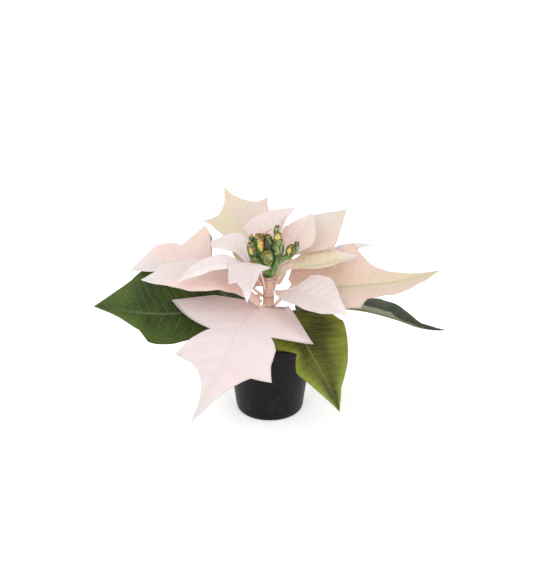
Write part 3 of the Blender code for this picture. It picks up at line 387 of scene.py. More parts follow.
BLADES = [
    Blade(
        "bract_front_left",
        [(-3.5, -4.0, 85), (-16, -26, 86), (-36, -66, 64), (-55, -98, 41)],
        stalk=6,
        left=[(-0.08, 0.065), (-0.17, 0.11), (-0.10, 0.20, 0.05), (0.14, 0.46, 0.06),
              (0.27, 0.21, 0.05), (0.36, 0.28, 0.04), (0.47, 0.29), (0.57, 0.34, -0.03),
              (0.59, 0.21, 0.02), (0.89, 0.045, -0.08)],
        right=[(-0.05, 0.12), (0.02, 0.33, 0.1), (0.20, 0.53, 0.02), (0.33, 0.18, 0.05),
               (0.57, 0.33, 0.08), (0.60, 0.20, 0.02), (0.66, 0.12, -0.03), (0.76, 0.05, -0.04),
               (0.88, 0.015, -0.02)],
        fold=(-6, 2), curl=(-8, 0),
    ),
    Blade(
        "bract_right",
        [(4.3, -0.5, 84), (13, 2, 92), (50, 6, 94), (94, 12, 96), (123, 18, 102)],
        stalk=18,
        left=[(-0.02, 0.10), (0.02, 0.20, 0.02), (0.36, 0.35, 0.06), (0.45, 0.385, 0.02),
              (0.49, 0.29), (0.56, 0.18, -0.03), (0.80, 0.05, -0.05)],
        right=[(0.10, 0.18, 0.08), (0.28, 0.34, 0.05), (0.40, 0.33, 0.04), (0.46, 0.21, -0.04),
               (0.64, 0.18), (0.88, 0.08, 0.02)],
        fold=(22, 2),
    ),
    Blade(
        "bract_front_right",
        [(1.6, -4.2, 96.2), (16, -12, 100), (34, -27, 100), (55, -42, 96)],
        stalk=4,
        left=[(0.13, 0.02), (0.24, 0.12), (0.27, 0.26, 0.02), (0.37, 0.32, 0.03),
              (0.48, 0.355, 0.03), (0.61, 0.30, 0.04), (0.77, 0.17, 0.02)],
        right=[(0.02, 0.09, 0.1), (0.22, 0.21, 0.04), (0.54, 0.22, 0.03), (0.76, 0.17, 0.02)],
        fold=(24, -8), small=True,
    ),
    Blade(
        "bract_back_right",
        [(2.4, 4.2, 92), (12, 18, 112), (37, 43, 120), (57, 66, 129)],
        stalk=4,
        left=[(0.03, 0.03), (0.12, 0.05), (0.295, 0.123, 0.08), (0.507, 0.264, 0.04),
              (0.612, 0.203, -0.02), (0.806, 0.167, 0.04)],
        right=[(0.03, 0.05), (0.12, 0.065), (0.295, 0.044), (0.445, 0.141),
               (0.577, 0.216), (0.762, 0.11)],
        fold=(10, -5),
    ),
    Blade(
        "bract_small_right",
        [(3.6, 2.0, 96), (8.6, 3.2, 106.4), (14, 4.6, 110), (24, 6.4, 109.8), (40, 12, 110), (64, 20, 113)],
        stalk=3,
        left=[(0.06, 0.04), (0.15, 0.08, 0.02), (0.26, 0.12), (0.44, 0.24, 0.03),
              (0.62, 0.26, 0.03), (0.82, 0.17, 0.04)],
        right=[(0.10, 0.02), (0.26, 0.05), (0.42, 0.18, 0.04), (0.68, 0.17, 0.03),
               (0.84, 0.09, 0.02)],
        fold=(14, 20), small=True,
    ),
    Blade(
        "bract_back_left",
        [(-3.2, 4.8, 92), (-12, 19, 115), (-22, 57, 121), (-34, 92, 135)],
        stalk=4,
        left=[(0.01, 0.05), (0.1, 0.07), (0.274, 0.142, 0.08), (0.504, 0.151, 0.03),
              (0.584, 0.186, -0.02), (0.699, 0.248, -0.05), (0.734, 0.133, -0.04), (0.885, 0.035, -0.05)],
        right=[(0.03, 0.03), (0.12, 0.04), (0.274, 0.159, 0.08), (0.575, 0.23, 0.05),
               (0.743, 0.239, -0.02), (0.814, 0.266), (0.796, 0.168, -0.04), (0.92, 0.035, -0.05)],
        fold=(5, 5), roll=-4,
    ),
    Blade(
        "bract_small_back",
        [(-0.6, 5.0, 100), (1, 12, 111), (3, 22, 129), (19, 37, 143)],
        stalk=14,
        left=[(0.20, 0.08, 0.02), (0.30, 0.28), (0.42, 0.54, 0.02), (0.60, 0.38, -0.04)],
        right=[(0.24, 0.08, 0.05), (0.62, 0.10, 0.05), (0.80, 0.04, 0.02)],
        fold=(10, 10), small=True,
    ),
    Blade(
        "bract_small_left_back",
        [(-5.1, 2.8, 97), (-17, 11, 115), (-29, 20, 122), (-43, 28, 120)],
        stalk=3,
        left=[(0.02, 0.05), (0.14, 0.075), (0.339, 0.051, 0.04), (0.525, 0.093),
              (0.686, 0.195, 0.03), (0.873, 0.195, 0.05)],
        right=[(0.02, 0.06), (0.14, 0.1), (0.322, 0.153, 0.06), (0.593, 0.305, 0.06),
               (0.78, 0.237, 0.04), (0.89, 0.127, 0.03)],
        fold=(0, 10), small=True,
    ),
    Blade(
        "bract_left_back",
        [(-5.4, 2.4, 89), (-27, 12, 101), (-64, 22, 107), (-86, 24, 103), (-102, 25, 98)],
        stalk=8,
        left=[(0.04, 0.01), (0.266, 0.165, 0.08), (0.468, 0.239, 0.05), (0.596, 0.138, -0.03),
              (0.816, 0.092, 0.03)],
        right=[(0.0, 0.05), (0.05, 0.06), (0.394, 0.073), (0.44, 0.275, 0.02),
               (0.5, 0.362, 0.03), (0.615, 0.165, -0.02), (0.688, 0.202, 0.05), (0.798, 0.184, 0.03),
               (0.881, 0.11, 0.02)],
        fold=(-7, 25),
    ),
    Blade(
        "bract_left",
        [(-6.2, -0.6, 86), (-31, -3, 104), (-61, -8, 109), (-92, -10, 108)],
        stalk=2,
        left=[(0.0, 0.15), (0.082, 0.174), (0.169, 0.184, 0.02), (0.265, 0.174),
              (0.41, 0.203, 0.03), (0.536, 0.242, 0.03), (0.662, 0.213, 0.02), (0.797, 0.145, 0.02),
              (0.923, 0.068, 0.02)],
        right=[(0.0, 0.08), (0.02, 0.07), (0.045, 0.03), (0.149, 0.058),
               (0.304, 0.116, 0.05), (0.439, 0.271, 0.02), (0.662, 0.232, 0.04), (0.826, 0.184, 0.03),
               (0.889, 0.087)],
        fold=(0, 10),
    ),
    Blade(
        "bract_small_left",
        [(-5.8, -1.6, 99), (-20, -4.5, 116), (-43, -13, 121), (-66, -24, 113)],
        stalk=12,
        left=[(0.24, 0.08, 0.05), (0.52, 0.10, 0.02), (0.68, 0.11, 0.02), (0.84, 0.07, 0.02)],
        right=[(0.16, 0.12, 0.05), (0.30, 0.22, 0.04), (0.42, 0.22, 0.04), (0.58, 0.16),
               (0.84, 0.06)],
        fold=(-12, 4), small=True,
    ),
    Blade(
        "bract_small_front",
        [(-3.5, -4.4, 98), (-6, -10, 112), (-9, -17, 124), (-13, -28, 117), (-16, -37, 103)],
        stalk=24,
        left=[(0.0, 0.12, 0.05), (0.08, 0.28, 0.05), (0.24, 0.24, 0.05), (0.34, 0.13, -0.03),
              (0.74, 0.06, 0.02)],
        right=[(0.02, 0.20, 0.05), (0.10, 0.44, 0.06), (0.34, 0.55, 0.05), (0.68, 0.44, 0.02),
               (0.63, 0.30), (0.76, 0.14)],
        fold=(-5, -5), small=True,
    ),
    Blade(
        "bract_small_back_right",
        [(0.7, 4.7, 99), (12, 15, 117), (22, 30, 126), (31, 44, 136)],
        stalk=12,
        left=[(0.24, 0.10, 0.06), (0.50, 0.25, 0.06), (0.74, 0.20, 0.04)],
        right=[(0.24, 0.14, 0.05), (0.40, 0.33, 0.02), (0.56, 0.31, 0.04), (0.77, 0.19, 0.03)],
        fold=(10, 10), small=True,
    ),
    Blade(
        "bract_slim_right",
        [(2.75, 3.2, 80), (20, 23, 88), (47, 45, 103), (76, 52, 106)],
        stalk=14,
        left=[(0.20, 0.05, 0.04), (0.50, 0.09, 0.02), (0.85, 0.06, 0.02)],
        right=[(0.20, 0.05, 0.04), (0.50, 0.09, 0.02), (0.85, 0.06, 0.02)],
        fold=(6, 6), small=True,
    ),
    Blade(
        "leaf_left",
        [(-6.4, -0.8, 64), (-22, -3, 77), (-50, -6, 80), (-83, -10, 81), (-111, -13, 86), (-126, -14, 89)],
        stalk=24,
        left=[(0.10, 0.10, 0.06), (0.32, 0.24, 0.05), (0.50, 0.27, 0.03), (0.62, 0.26, 0.03),
              (0.68, 0.16), (0.82, 0.06)],
        right=[(0.10, 0.16, 0.08), (0.34, 0.38, 0.06), (0.52, 0.43, 0.04), (0.65, 0.38, 0.03),
               (0.74, 0.27, 0.02), (0.88, 0.13)],
        fold=(-4, 8), roll=-20,
    ),
    Blade(
        "leaf_front",
        [(2.0, -4.6, 66), (15, -10, 79), (22, -24, 72), (32, -42, 60), (41, -56, 49), (49, -70, 34)],
        stalk=14,
        left=[(0.04, 0.14, 0.06), (0.15, 0.32, 0.05), (0.23, 0.375, 0.04), (0.37, 0.36, 0.04),
              (0.51, 0.31, 0.02), (0.66, 0.23, 0.02), (0.82, 0.09)],
        right=[(0.06, 0.14, 0.08), (0.20, 0.24, 0.04), (0.33, 0.225, 0.03), (0.42, 0.105, -0.04),
               (0.56, 0.18, 0.05), (0.79, 0.10, 0.02)],
        fold=(10, -20),
    ),
    Blade(
        "leaf_right",
        [(3.7, 0.9, 73), (37, 12, 75), (67, 22, 68), (94, 28, 57), (112, 30, 49), (129, 30, 47)],
        stalk=30,
        left=[(0.12, 0.12, 0.06), (0.36, 0.13, 0.03), (0.56, 0.225, 0.03), (0.69, 0.18, 0.03),
              (0.84, 0.06, -0.02)],
        right=[(0.08, 0.10, 0.06), (0.25, 0.23, 0.05), (0.37, 0.28, 0.03), (0.47, 0.25, 0.03),
               (0.62, 0.10, -0.03), (0.80, 0.05)],
        fold=(17, 17), roll=-20, twist=20,
    ),
    Blade(
        "leaf_back_right",
        [(3.1, 3.0, 56), (15, 12, 62), (35, 36, 65), (48, 64, 64), (55, 92, 54)],
        stalk=26,
        left=[(0.08, 0.12, 0.06), (0.34, 0.24, 0.06), (0.52, 0.25, 0.04), (0.66, 0.17),
              (0.86, 0.07, 0.02)],
        right=[(0.08, 0.13, 0.06), (0.30, 0.24, 0.06), (0.50, 0.26, 0.04), (0.66, 0.17),
               (0.86, 0.07, 0.02)],
        fold=(8, 8), curl=(-6, -6),
    ),
    Blade(
        "leaf_back_left",
        [(-4.0, 3.7, 59), (-14, 14, 62), (-30, 36, 69), (-42, 63, 71), (-50, 90, 60)],
        stalk=26,
        left=[(0.08, 0.15, 0.08), (0.30, 0.28, 0.08), (0.50, 0.28, 0.04), (0.66, 0.17),
              (0.86, 0.07, 0.02)],
        right=[(0.08, 0.15, 0.08), (0.34, 0.29, 0.08), (0.52, 0.27, 0.04), (0.66, 0.17),
               (0.86, 0.07, 0.02)],
        fold=(8, 8), curl=(-6, -6),
    ),
]


def ease(value, low, high):
    """0 below low, 1 above high, smooth between; with low above high it falls instead."""
    share = np.clip((value - low) / (high - low), 0, 1)
    return share * share * (3 - 2 * share)


class Shape:
    """Gathers grids of points in millimetres, with their finish and what the finish reads, into one mesh."""

    def __init__(self):
        self.points, self.faces, self.slots, self.tints = [], [], [], []
        self.count = 0

    def grid(self, points, slot=0, tint=(0.0, 0.0, 0.0), flip=False):
        """Adds rows x columns x 3 points, whose faces point to rows x columns."""
        rows, columns = points.shape[:2]
        corner = self.count + np.arange(rows * columns).reshape(rows, columns)
        faces = np.stack([corner[:-1, :-1], corner[:-1, 1:], corner[1:, 1:], corner[1:, :-1]], -1)
        faces = faces.reshape(-1, 4)
        self.faces.append(faces[:, ::-1] if flip else faces)
        self.slots.append(np.full(len(faces), slot))
        self.points.append(points.reshape(-1, 3))
        self.tints.append(np.broadcast_to(tint, points.shape).reshape(-1, 3))
        self.count += rows * columns

    def object(self, name, weld=1e-7, recalc=False):
        """The grids as one object at the origin, doubles merged."""
        mesh = bpy.data.meshes.new(name)
        mesh.from_pydata(np.concatenate(self.points) * MM, [], np.concatenate(self.faces))
        mesh.polygons.foreach_set("material_index", np.concatenate(self.slots).astype(np.int32))
        tint = mesh.attributes.new("tint", "FLOAT_VECTOR", "POINT")
        tint.data.foreach_set("vector", np.concatenate(self.tints).astype(np.float32).ravel())
        work = bmesh.new()
        work.from_mesh(mesh)
        bmesh.ops.remove_doubles(work, verts=work.verts, dist=weld)
        bmesh.ops.dissolve_degenerate(work, edges=work.edges, dist=weld)
        if recalc:
            bmesh.ops.recalc_face_normals(work, faces=work.faces)
        work.to_mesh(mesh)
        work.free()
        made = bpy.data.objects.new(name, mesh)
        bpy.context.scene.collection.objects.link(made)
        return made

    def piece(self, name, finishes, replaced, slot, weld=1e-7):
        """The object as a piece of the plant, in place of the model's node."""
        made = self.object(name, weld)
        made.data.shade_smooth()
        for finish in finishes:
            made.data.materials.append(finish.material)
        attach(made, BODY)
        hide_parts(replaced)
        return made


def turned(profile, steps=96, ripple=None):
    """A profile of (radius, height) turned once round Z. ripple(angle, height) scales the radius."""
    angle = np.linspace(0, 2 * math.pi, steps + 1)[None, :]
    radius, height = (np.array(profile, float)[:, k][:, None] for k in (0, 1))
    if ripple is not None:
        radius = radius * ripple(angle, height)
    height = height + 0 * angle
    return np.stack([radius * np.cos(angle), radius * np.sin(angle), height], -1)


def rounded(corners, radius, steps=5):
    """A polyline with each inner corner replaced by a curve that starts and ends this far from it."""
    corners = np.array(corners, float)
    before, here, after = corners[:-2], corners[1:-1], corners[2:]
    near = [np.minimum(radius, np.linalg.norm(other - here, axis=1) / 2) for other in (before, after)]
    start = here + unit(before - here) * near[0][:, None]
    end = here + unit(after - here) * near[1][:, None]
    share = np.linspace(0, 1, steps)[None, :, None]
    curve = (1 - share) ** 2 * start[:, None] + share**2 * end[:, None]
    curve = curve + 2 * share * (1 - share) * here[:, None]
    return np.concatenate([corners[:1], curve.reshape(-1, 2), corners[-1:]])


def swept(centre, radii, steps, flat=1.0):
    """A round tube of these radii along the centre points, closed at both ends. flat scales one axis of its
    section, and the section's directions stay square to the path and to one fixed direction."""
    ahead = unit(np.gradient(centre, axis=0))
    heading = centre[-1] - centre[0]
    fixed = np.eye(3)[np.argmin(np.abs(heading))]
    side = unit(np.cross(ahead, fixed))
    other = np.cross(ahead, side)
    ends = np.array([0.0, 0.6, 0.9])
    centre = np.concatenate([centre[:1] - ahead[:1] * radii[0] * (1 - ends[:, None]) * 0.6, centre,
                             centre[-1:] + ahead[-1:] * radii[-1] * (1 - ends[::-1, None]) * 0.6])
    side, other = (np.concatenate([v[:1]] * 3 + [v] + [v[-1:]] * 3) for v in (side, other))
    radii = np.concatenate([radii[0] * ends, radii, radii[-1] * ends[::-1]])
    angle = np.linspace(0, 2 * math.pi, steps + 1)[None, :, None]
    ring = side[:, None] * np.cos(angle) + flat * other[:, None] * np.sin(angle)
    return centre[:, None] + ring * radii[:, None, None]


def aimed(points, foot, direction, turn=0.0):
    """Points moved so that their origin lies at the foot and their Z points along the direction."""
    z = unit(np.array(direction, float))
    x = unit(np.cross(z, np.eye(3)[np.argmin(np.abs(z))]))
    y = np.cross(z, x)
    x, y = x * math.cos(turn) + y * math.sin(turn), y * math.cos(turn) - x * math.sin(turn)
    return np.array(foot, float) + points @ np.stack([x, y, z])


# What each bract's skin is coloured with: its two halves (left and right of someone who looks from the stem
# to the tip), its tip, the painted shading near its stalk (painted warm light and shade that stands in for
# the glow and shade under the overlapping bracts) and how far that reaches, its side veins and midrib, and
# the yellow-green blotches with their share. rib_share is how plainly the midrib shows, side_veins how many
# veins leave each side of it. Where a bract says nothing, it is as the pale one.
PALE = {
    "left": (239, 225, 224), "right": (239, 225, 224), "tip": (236, 228, 225),
    "flush": (240, 210, 203), "flush_reach": 0.3, "vein": (226, 208, 204), "rib": (234, 212, 207),
    "green": (212, 212, 172), "green_share": 0.0, "green_from": -0.2, "rib_share": 0.3,
    "side_veins": 9,
}
BRACT_LOOKS = {
    "bract_front_left": {
        "flush_reach": 0.3, "left": (231, 216, 216), "right": (232, 218, 218), "tip": (221, 216, 214),
        "flush": (246, 222, 216),
    },
    "bract_right": {
        "left": (236, 206, 194), "right": (234, 208, 198), "tip": (216, 206, 178), "flush": (255, 220, 208),
        "green": (208, 206, 160), "green_share": 0.45, "rib": (192, 198, 146), "rib_share": 0.7,
        "vein": (214, 206, 174), "side_veins": 12,
    },
    "bract_front_right": {"left": (231, 216, 213), "right": (231, 215, 211), "flush_reach": 0.35},
    "bract_back_right": {
        "left": (225, 213, 206), "right": (236, 211, 201), "tip": (230, 220, 206), "green_share": 0.3,
        "green": (216, 218, 190),
    },
    "bract_small_right": {
        "left": (244, 224, 202), "right": (244, 222, 200), "tip": (236, 226, 222), "rib": (210, 212, 158),
        "flush": (255, 222, 204), "flush_reach": 0.5, "green_from": 0.25,
        "green": (222, 220, 176), "green_share": 0.65, "rib_share": 0.6, "vein": (226, 220, 186),
        "side_veins": 11,
    },
    "bract_back_left": {
        "left": (230, 216, 190), "right": (228, 211, 204), "tip": (229, 217, 194), "flush": (236, 206, 188),
        "green": (224, 218, 176), "green_share": 0.35,
    },
    "bract_small_back": {"left": (236, 218, 214), "right": (226, 200, 198)},
    "bract_small_left_back": {"left": (246, 233, 229), "right": (246, 231, 227)},
    "bract_left_back": {
        "left": (238, 228, 225), "right": (240, 214, 207), "flush": (226, 214, 182), "flush_reach": 0.25,
    },
    "bract_left": {
        "left": (254, 228, 220), "right": (238, 221, 217), "flush": (255, 218, 204), "flush_reach": 0.6,
        "side_veins": 11,
    },
    "bract_small_left": {"left": (247, 235, 233), "right": (246, 233, 231), "flush_reach": 0.25},
    "bract_small_front": {"left": (224, 210, 208), "right": (224, 210, 208), "flush_reach": 0.1},
    "bract_small_back_right": {"left": (240, 218, 211), "right": (246, 224, 214)},
    "bract_slim_right": {"left": (240, 235, 235), "right": (240, 235, 235), "flush_reach": 0.1},
}
LEAF_LOOKS = {
    "leaf_left": {
        "dark": (36, 52, 8), "light": (60, 82, 18), "margin": (84, 106, 28), "margin_share": 0.6,
        "vein": (120, 140, 92), "side_veins": 16,
    },
    "leaf_front": {
        "dark": (48, 50, 10), "light": (88, 93, 26), "margin": (138, 149, 54), "margin_share": 0.9,
        "vein": (136, 144, 66), "side_veins": 15,
    },
    "leaf_right": {
        "dark": (26, 38, 8), "light": (42, 56, 18), "margin": (80, 90, 48), "margin_share": 0.35,
        "vein": (104, 116, 84), "side_veins": 13,
    },
    "leaf_back_right": {
        "dark": (42, 58, 20), "light": (66, 86, 34), "margin": (92, 114, 48), "margin_share": 0.5,
        "vein": (116, 136, 84), "side_veins": 14,
    },
    "leaf_back_left": {
        "dark": (40, 56, 20), "light": (62, 82, 34), "margin": (88, 110, 46), "margin_share": 0.45,
        "vein": (114, 134, 84), "side_veins": 14,
    },
}


def vein_steps(finish, station, across, place, side_veins):
    """Counts the side veins along the midrib. Those of the left half leave it between those of the right."""
    wander = (finish.noise(place, 110.0) - 0.5) * 0.35
    return station * side_veins + finish.rise(across, -0.001, 0.001) * 0.5 + wander


def bract_finish(name, look):
    """Thin velvety skin: tinted halves, painted warm shading by the stalk and in patches, soft veins,
    blotches and a fine crumple.
    """
    finish = Finish(
        name + "_skin", Subsurface_Weight=0.12, Subsurface_Scale=0.0015, Specular_IOR_Level=0.2,
        Sheen_Weight=0.08, Sheen_Roughness=0.45,
    )
    place = finish.place()
    station, across, out = finish.shares(0, 1, 2)
    cloud = finish.noise(place, 38.0, 3.0)
    grain = finish.noise(place, 900.0)
    speck = finish.noise(place, 420.0, 3.0, 0.6)
    step = vein_steps(finish, station, across, place, look["side_veins"])
    vein = finish.line(step, 0.075) * finish.rise(out, 1.05, 0.5)
    hair = finish.line(step * 4.0, 0.16) * finish.rise(out, 1.0, 0.3)
    net = finish.rise(finish.cells(place, 420.0), 0.12, 0.02)
    rib = finish.rise(abs(across), 0.016, 0.004) * finish.rise(station, 1.0, 0.6)
    to_left = finish.rise(across + (cloud - 0.5) * 0.2, -0.05, 0.05)
    reach = station + abs(across) * 0.6 + (cloud - 0.5) * 0.4
    coats = [
        (finish.rise(station, 0.6, 1.0), look["tip"]),
        # painted warm light and shade by the stalk, for the glow and shade under the overlapping bracts, then
        # soft patches of the same painted colour laid by noise
        (finish.rise(reach, look["flush_reach"], 0.0), look["flush"]),
        (finish.rise(cloud, 0.5, 0.75) * 0.35, look["flush"]),
    ]
    if look["green_share"]:
        blotch = finish.rise(speck + finish.rise(abs(across), 0.3, 0.0) * 0.12, 0.5, 0.66)
        near = finish.rise(station + abs(across), 1.0, 0.75)
        near = near * finish.rise(station, look["green_from"] - 0.05, look["green_from"] + 0.1)
        coats.append((blotch * near * look["green_share"], look["green"]))
    coats += [
        (vein * 0.2 + hair * 0.06 + net * 0.05, look["vein"]),
        (rib * look["rib_share"], look["rib"]),
        ((grain - 0.5) * 0.12, (255, 250, 246)),
    ]
    finish.paint(finish.mix(to_left, seen(*look["right"]), seen(*look["left"])), *coats)
    finish.rough(0.56 + grain * 0.12)
    finish.relief(grain * 0.2 + cloud * 0.5 - vein * 0.4 - hair * 0.1 - net * 0.1 - rib * 0.5, 0.0003)
    return finish


def leaf_finish(name, look):
    """Tough waxy skin: dark between the veins, paler to the margin, veins sunk, quilted between them."""
    finish = Finish(
        name + "_skin", Specular_IOR_Level=0.27, Subsurface_Weight=0.05, Subsurface_Scale=0.001,
    )
    place = finish.place()
    station, across, out = finish.shares(0, 1, 2)
    cloud = finish.noise(place, 42.0, 3.0)
    grain = finish.noise(place, 1100.0)
    step = vein_steps(finish, station, across, place, look["side_veins"])
    vein = finish.line(step, 0.045) * finish.rise(out, 1.1, 0.55)
    hair = finish.line(step * 5.0, 0.22) * finish.rise(out, 1.05, 0.2)
    cell = finish.cells(place, 340.0)
    net = finish.rise(cell, 0.14, 0.03)
    rib = finish.rise(abs(across), 0.016, 0.005) * finish.rise(station, 1.0, 0.55)
    edge = finish.rise(out + (cloud - 0.5) * 0.5 + station * 0.25, 0.45, 1.15) * look["margin_share"]
    finish.paint(
        finish.mix(finish.rise(cloud, 0.35, 0.7), seen(*look["dark"]), seen(*look["light"])),
        (edge, look["margin"]),
        (vein * 0.75 + hair * 0.14 + net * 0.1, look["vein"]),
        (rib * 0.45, look["vein"]),
    )
    finish.rough(0.36 + grain * 0.14 + net * 0.08)
    finish.relief(cell * 0.5 + grain * 0.1 + cloud * 0.4 - vein - hair * 0.2 - rib, 0.0005)
    return finish


def underside_finish(name, base, vein_colour, roughness):
    """The duller back of a blade, with its veins standing up."""
    finish = Finish(name, roughness, Specular_IOR_Level=0.25)
    place = finish.place()
    station, across, out = finish.shares(0, 1, 2)
    cloud = finish.noise(place, 60.0, 3.0)
    grain = finish.noise(place, 900.0)
    step = vein_steps(finish, station, across, place, 11)
    vein = finish.line(step, 0.08) * finish.rise(out, 1.1, 0.5)
    net = finish.rise(finish.cells(place, 380.0), 0.14, 0.03)
    shaded = tuple(v * 0.82 for v in seen(*base))
    finish.paint(
        finish.mix(finish.rise(cloud, 0.35, 0.7), shaded, seen(*base)),
        (vein * 0.6 + net * 0.2, vein_colour),
    )
    finish.relief(grain * 0.25 + vein + net * 0.35, 0.0003)
    return finish


def stalk_finish(name, foot, head, streak):
    """A stalk that turns from its foot's colour to its head's, with streaks along it."""
    finish = Finish(name, 0.48, Specular_IOR_Level=0.4)
    (station,) = finish.shares(0)
    mottle = finish.noise(finish.place(), 300.0, 3.0)
    height = finish.rise(station + (mottle - 0.5) * 0.15, -0.3, 0.02)
    finish.paint(
        finish.mix(height, seen(*foot), seen(*head)),
        (finish.rise(mottle, 0.52, 0.66) * 0.6, streak),
    )
    finish.relief(mottle, 0.0002)
    return finish


def stem_finish():
    """Rose-brown bark above, green-brown and woody below, with rings, streaks, small pale pores and a painted
    highlight band just above each ring.
    """
    finish = Finish("stem_bark", 0.55, Specular_IOR_Level=0.35)
    place = finish.place()
    height = finish.part(place, 2)
    streak = finish.noise(finish.stretch(place, (1.0, 1.0, 0.12)), 900.0, 3.0)
    mottle = finish.noise(place, 180.0, 4.0)
    level = height + (mottle - 0.5) * 0.0008
    ring, band = 0.0, 0.0
    for scar in STEM_SCARS:
        ring = ring + finish.rise(abs(level - scar * MM), 0.0007, 0.0003)
        # where the painted highlight lies: a band just above each ring
        band = band + finish.rise(abs(level - (scar + 1.1) * MM), 0.0009, 0.0004)
    dots = finish.node("ShaderNodeTexVoronoi", {}, {"Vector": place, "Scale": 420.0})
    pore = finish.rise(dots, 0.2, 0.08)
    upper = finish.rise(height + (mottle - 0.5) * 0.016, 0.064, 0.086)
    finish.paint(
        finish.mix(upper, seen(118, 104, 66), seen(213, 176, 158)),
        (finish.rise(streak, 0.45, 0.7) * 0.4, (200, 158, 140)),
        (ring * 0.55, (150, 102, 88)),
        # painted highlight: a pale band just above each ring
        (band * 0.5, (228, 196, 178)),
        (pore * 0.25, (224, 196, 176)),
    )
    finish.relief(streak * 0.4 + mottle * 0.4 - ring * 0.8 + band * 0.4 + pore * 0.3, 0.0003)
    return finish


def pot_finish():
    """Matt black moulded plastic: fine pits, faint draw marks down the wall, a little dust low down."""
    finish = Finish("pot_plastic", Specular_IOR_Level=0.17)
    place = finish.place()
    height = finish.part(place, 2)
    pits = finish.noise(place, 2200.0)
    drawn = finish.noise(finish.stretch(place, (1.0, 1.0, 0.06)), 420.0, 3.0)
    dust = finish.rise(finish.noise(place, 90.0, 5.0, 0.65), 0.5, 0.75) * finish.rise(height, 0.05, 0.0)
    finish.paint(
        finish.mix(drawn * 0.6, seen(6, 5, 11), seen(13, 11, 19)),
        (dust * 0.12, (120, 110, 100)),
    )
    finish.rough(0.38 + pits * 0.12 + dust * 0.2)
    finish.relief(pits * 0.3 + drawn * 0.5, 0.00012)
    return finish


def soil_finish():
    """Damp peat: dark crumbs, with paler fibres between them."""
    finish = Finish("soil_peat", 0.95, Specular_IOR_Level=0.15)
    place = finish.place()
    crumb = finish.noise(place, 700.0, 4.0, 0.65)
    fibre = finish.rise(finish.noise(finish.stretch(place, (1.0, 0.2, 1.0)), 800.0), 0.62, 0.72)
    finish.paint(
        finish.mix(finish.rise(crumb, 0.3, 0.7), seen(34, 24, 18), seen(84, 62, 44)),
        (fibre * 0.6, (134, 104, 72)),
    )
    finish.relief(crumb + fibre * 0.3, 0.0008)
    return finish


def crumb_finish():
    """Lumps of peat, bark and white perlite, told apart by the tone that each carries."""
    finish = Finish("soil_crumbs", 0.92, Specular_IOR_Level=0.2)
    (tone,) = finish.shares(0)
    grain = finish.noise(finish.place(), 1600.0, 3.0)
    bark = finish.rise(tone + (grain - 0.5) * 0.3, 0.1, 0.9)
    finish.paint(
        finish.mix(bark, seen(40, 28, 20), seen(112, 82, 56)),
        (finish.rise(tone, 0.94, 0.96), (226, 222, 212)),
    )
    finish.relief(grain, 0.0003)
    return finish


def cup_finish():
    """Glossy green cups with pale painted highlight streaks. tint is the height on the cup, how light the cup
    is, and how near its mouth.
    """
    finish = Finish("flower_cup", 0.34, Specular_IOR_Level=0.5)
    place = finish.place()
    height, light, mouth = finish.shares(0, 1, 2)
    mottle = finish.noise(place, 420.0, 3.0)
    streak = finish.noise(finish.stretch(place, (1.0, 1.0, 0.25)), 900.0)
    rim = finish.rise(mouth + (mottle - 0.5) * 1.6, 0.75, 1.05)
    finish.paint(
        finish.mix(light + (mottle - 0.5) * 0.5, seen(38, 62, 24), seen(100, 128, 70)),
        # pale yellow streaks down the cups: painted highlights of their gloss
        (finish.rise(streak + light * 0.1, 0.56, 0.68) * 0.7, (190, 194, 128)),
        (finish.rise(height, 0.35, 0.0) * 0.5, (64, 96, 40)),
        (rim * 0.7, (190, 160, 66)),
    )
    finish.relief(mottle + streak * 0.4, 0.0004)
    return finish


def gland_finish():
    """Waxy yellow lips, red on one side. tint is how near the rim, how red the gland, how far that way."""
    finish = Finish("flower_gland", 0.3, Specular_IOR_Level=0.5)
    place = finish.place()
    edge, redness, side = finish.shares(0, 1, 2)
    mottle = finish.noise(place, 500.0, 3.0)
    green = finish.rise(finish.noise(place, 900.0) + edge * 0.12, 0.5, 0.62)
    red = finish.rise(edge * 0.3 + redness + side * 0.55 + (mottle - 0.5) * 0.8, 0.7, 1.0)
    finish.paint(
        finish.mix(finish.rise(mottle, 0.35, 0.65), seen(228, 204, 92), seen(186, 178, 84)),
        (green * 0.6, (96, 118, 56)),
        (red, (160, 40, 44)),
    )
    finish.relief(mottle, 0.0003)
    return finish


def branch_finish():
    """Fresh green branches with light streaks and darker patches laid by noise. tint's second share is 1 on
    the collar.
    """
    finish = Finish("flower_branch", 0.4, Specular_IOR_Level=0.45)
    place = finish.place()
    (collar,) = finish.shares(1)
    streak = finish.noise(finish.stretch(place, (1.0, 1.0, 0.3)), 700.0, 3.0)
    fork = finish.noise(place, 160.0)
    finish.paint(
        finish.mix(finish.rise(streak, 0.38, 0.68), seen(84, 116, 54), seen(132, 160, 94)),
        (finish.rise(fork, 0.5, 0.38) * 0.4, (50, 72, 30)),
        (collar * 0.85, (62, 78, 40)),
    )
    finish.relief(streak, 0.0003)
    return finish


def tip_finish():
    """Red and orange points round the cups' mouths. tint is how far along the point, and how orange it is."""
    finish = Finish("flower_tip", 0.35)
    along, orange = finish.shares(0, 1)
    mottle = finish.noise(finish.place(), 900.0)
    ripe = finish.rise(orange + (mottle - 0.5) * 0.3, 0.3, 0.8)
    finish.paint(
        finish.mix(ripe, seen(150, 34, 40), seen(222, 138, 62)),
        (finish.rise(along, 0.4, 0.0), (150, 160, 84)),
    )
    finish.relief(mottle, 0.0002)
    return finish


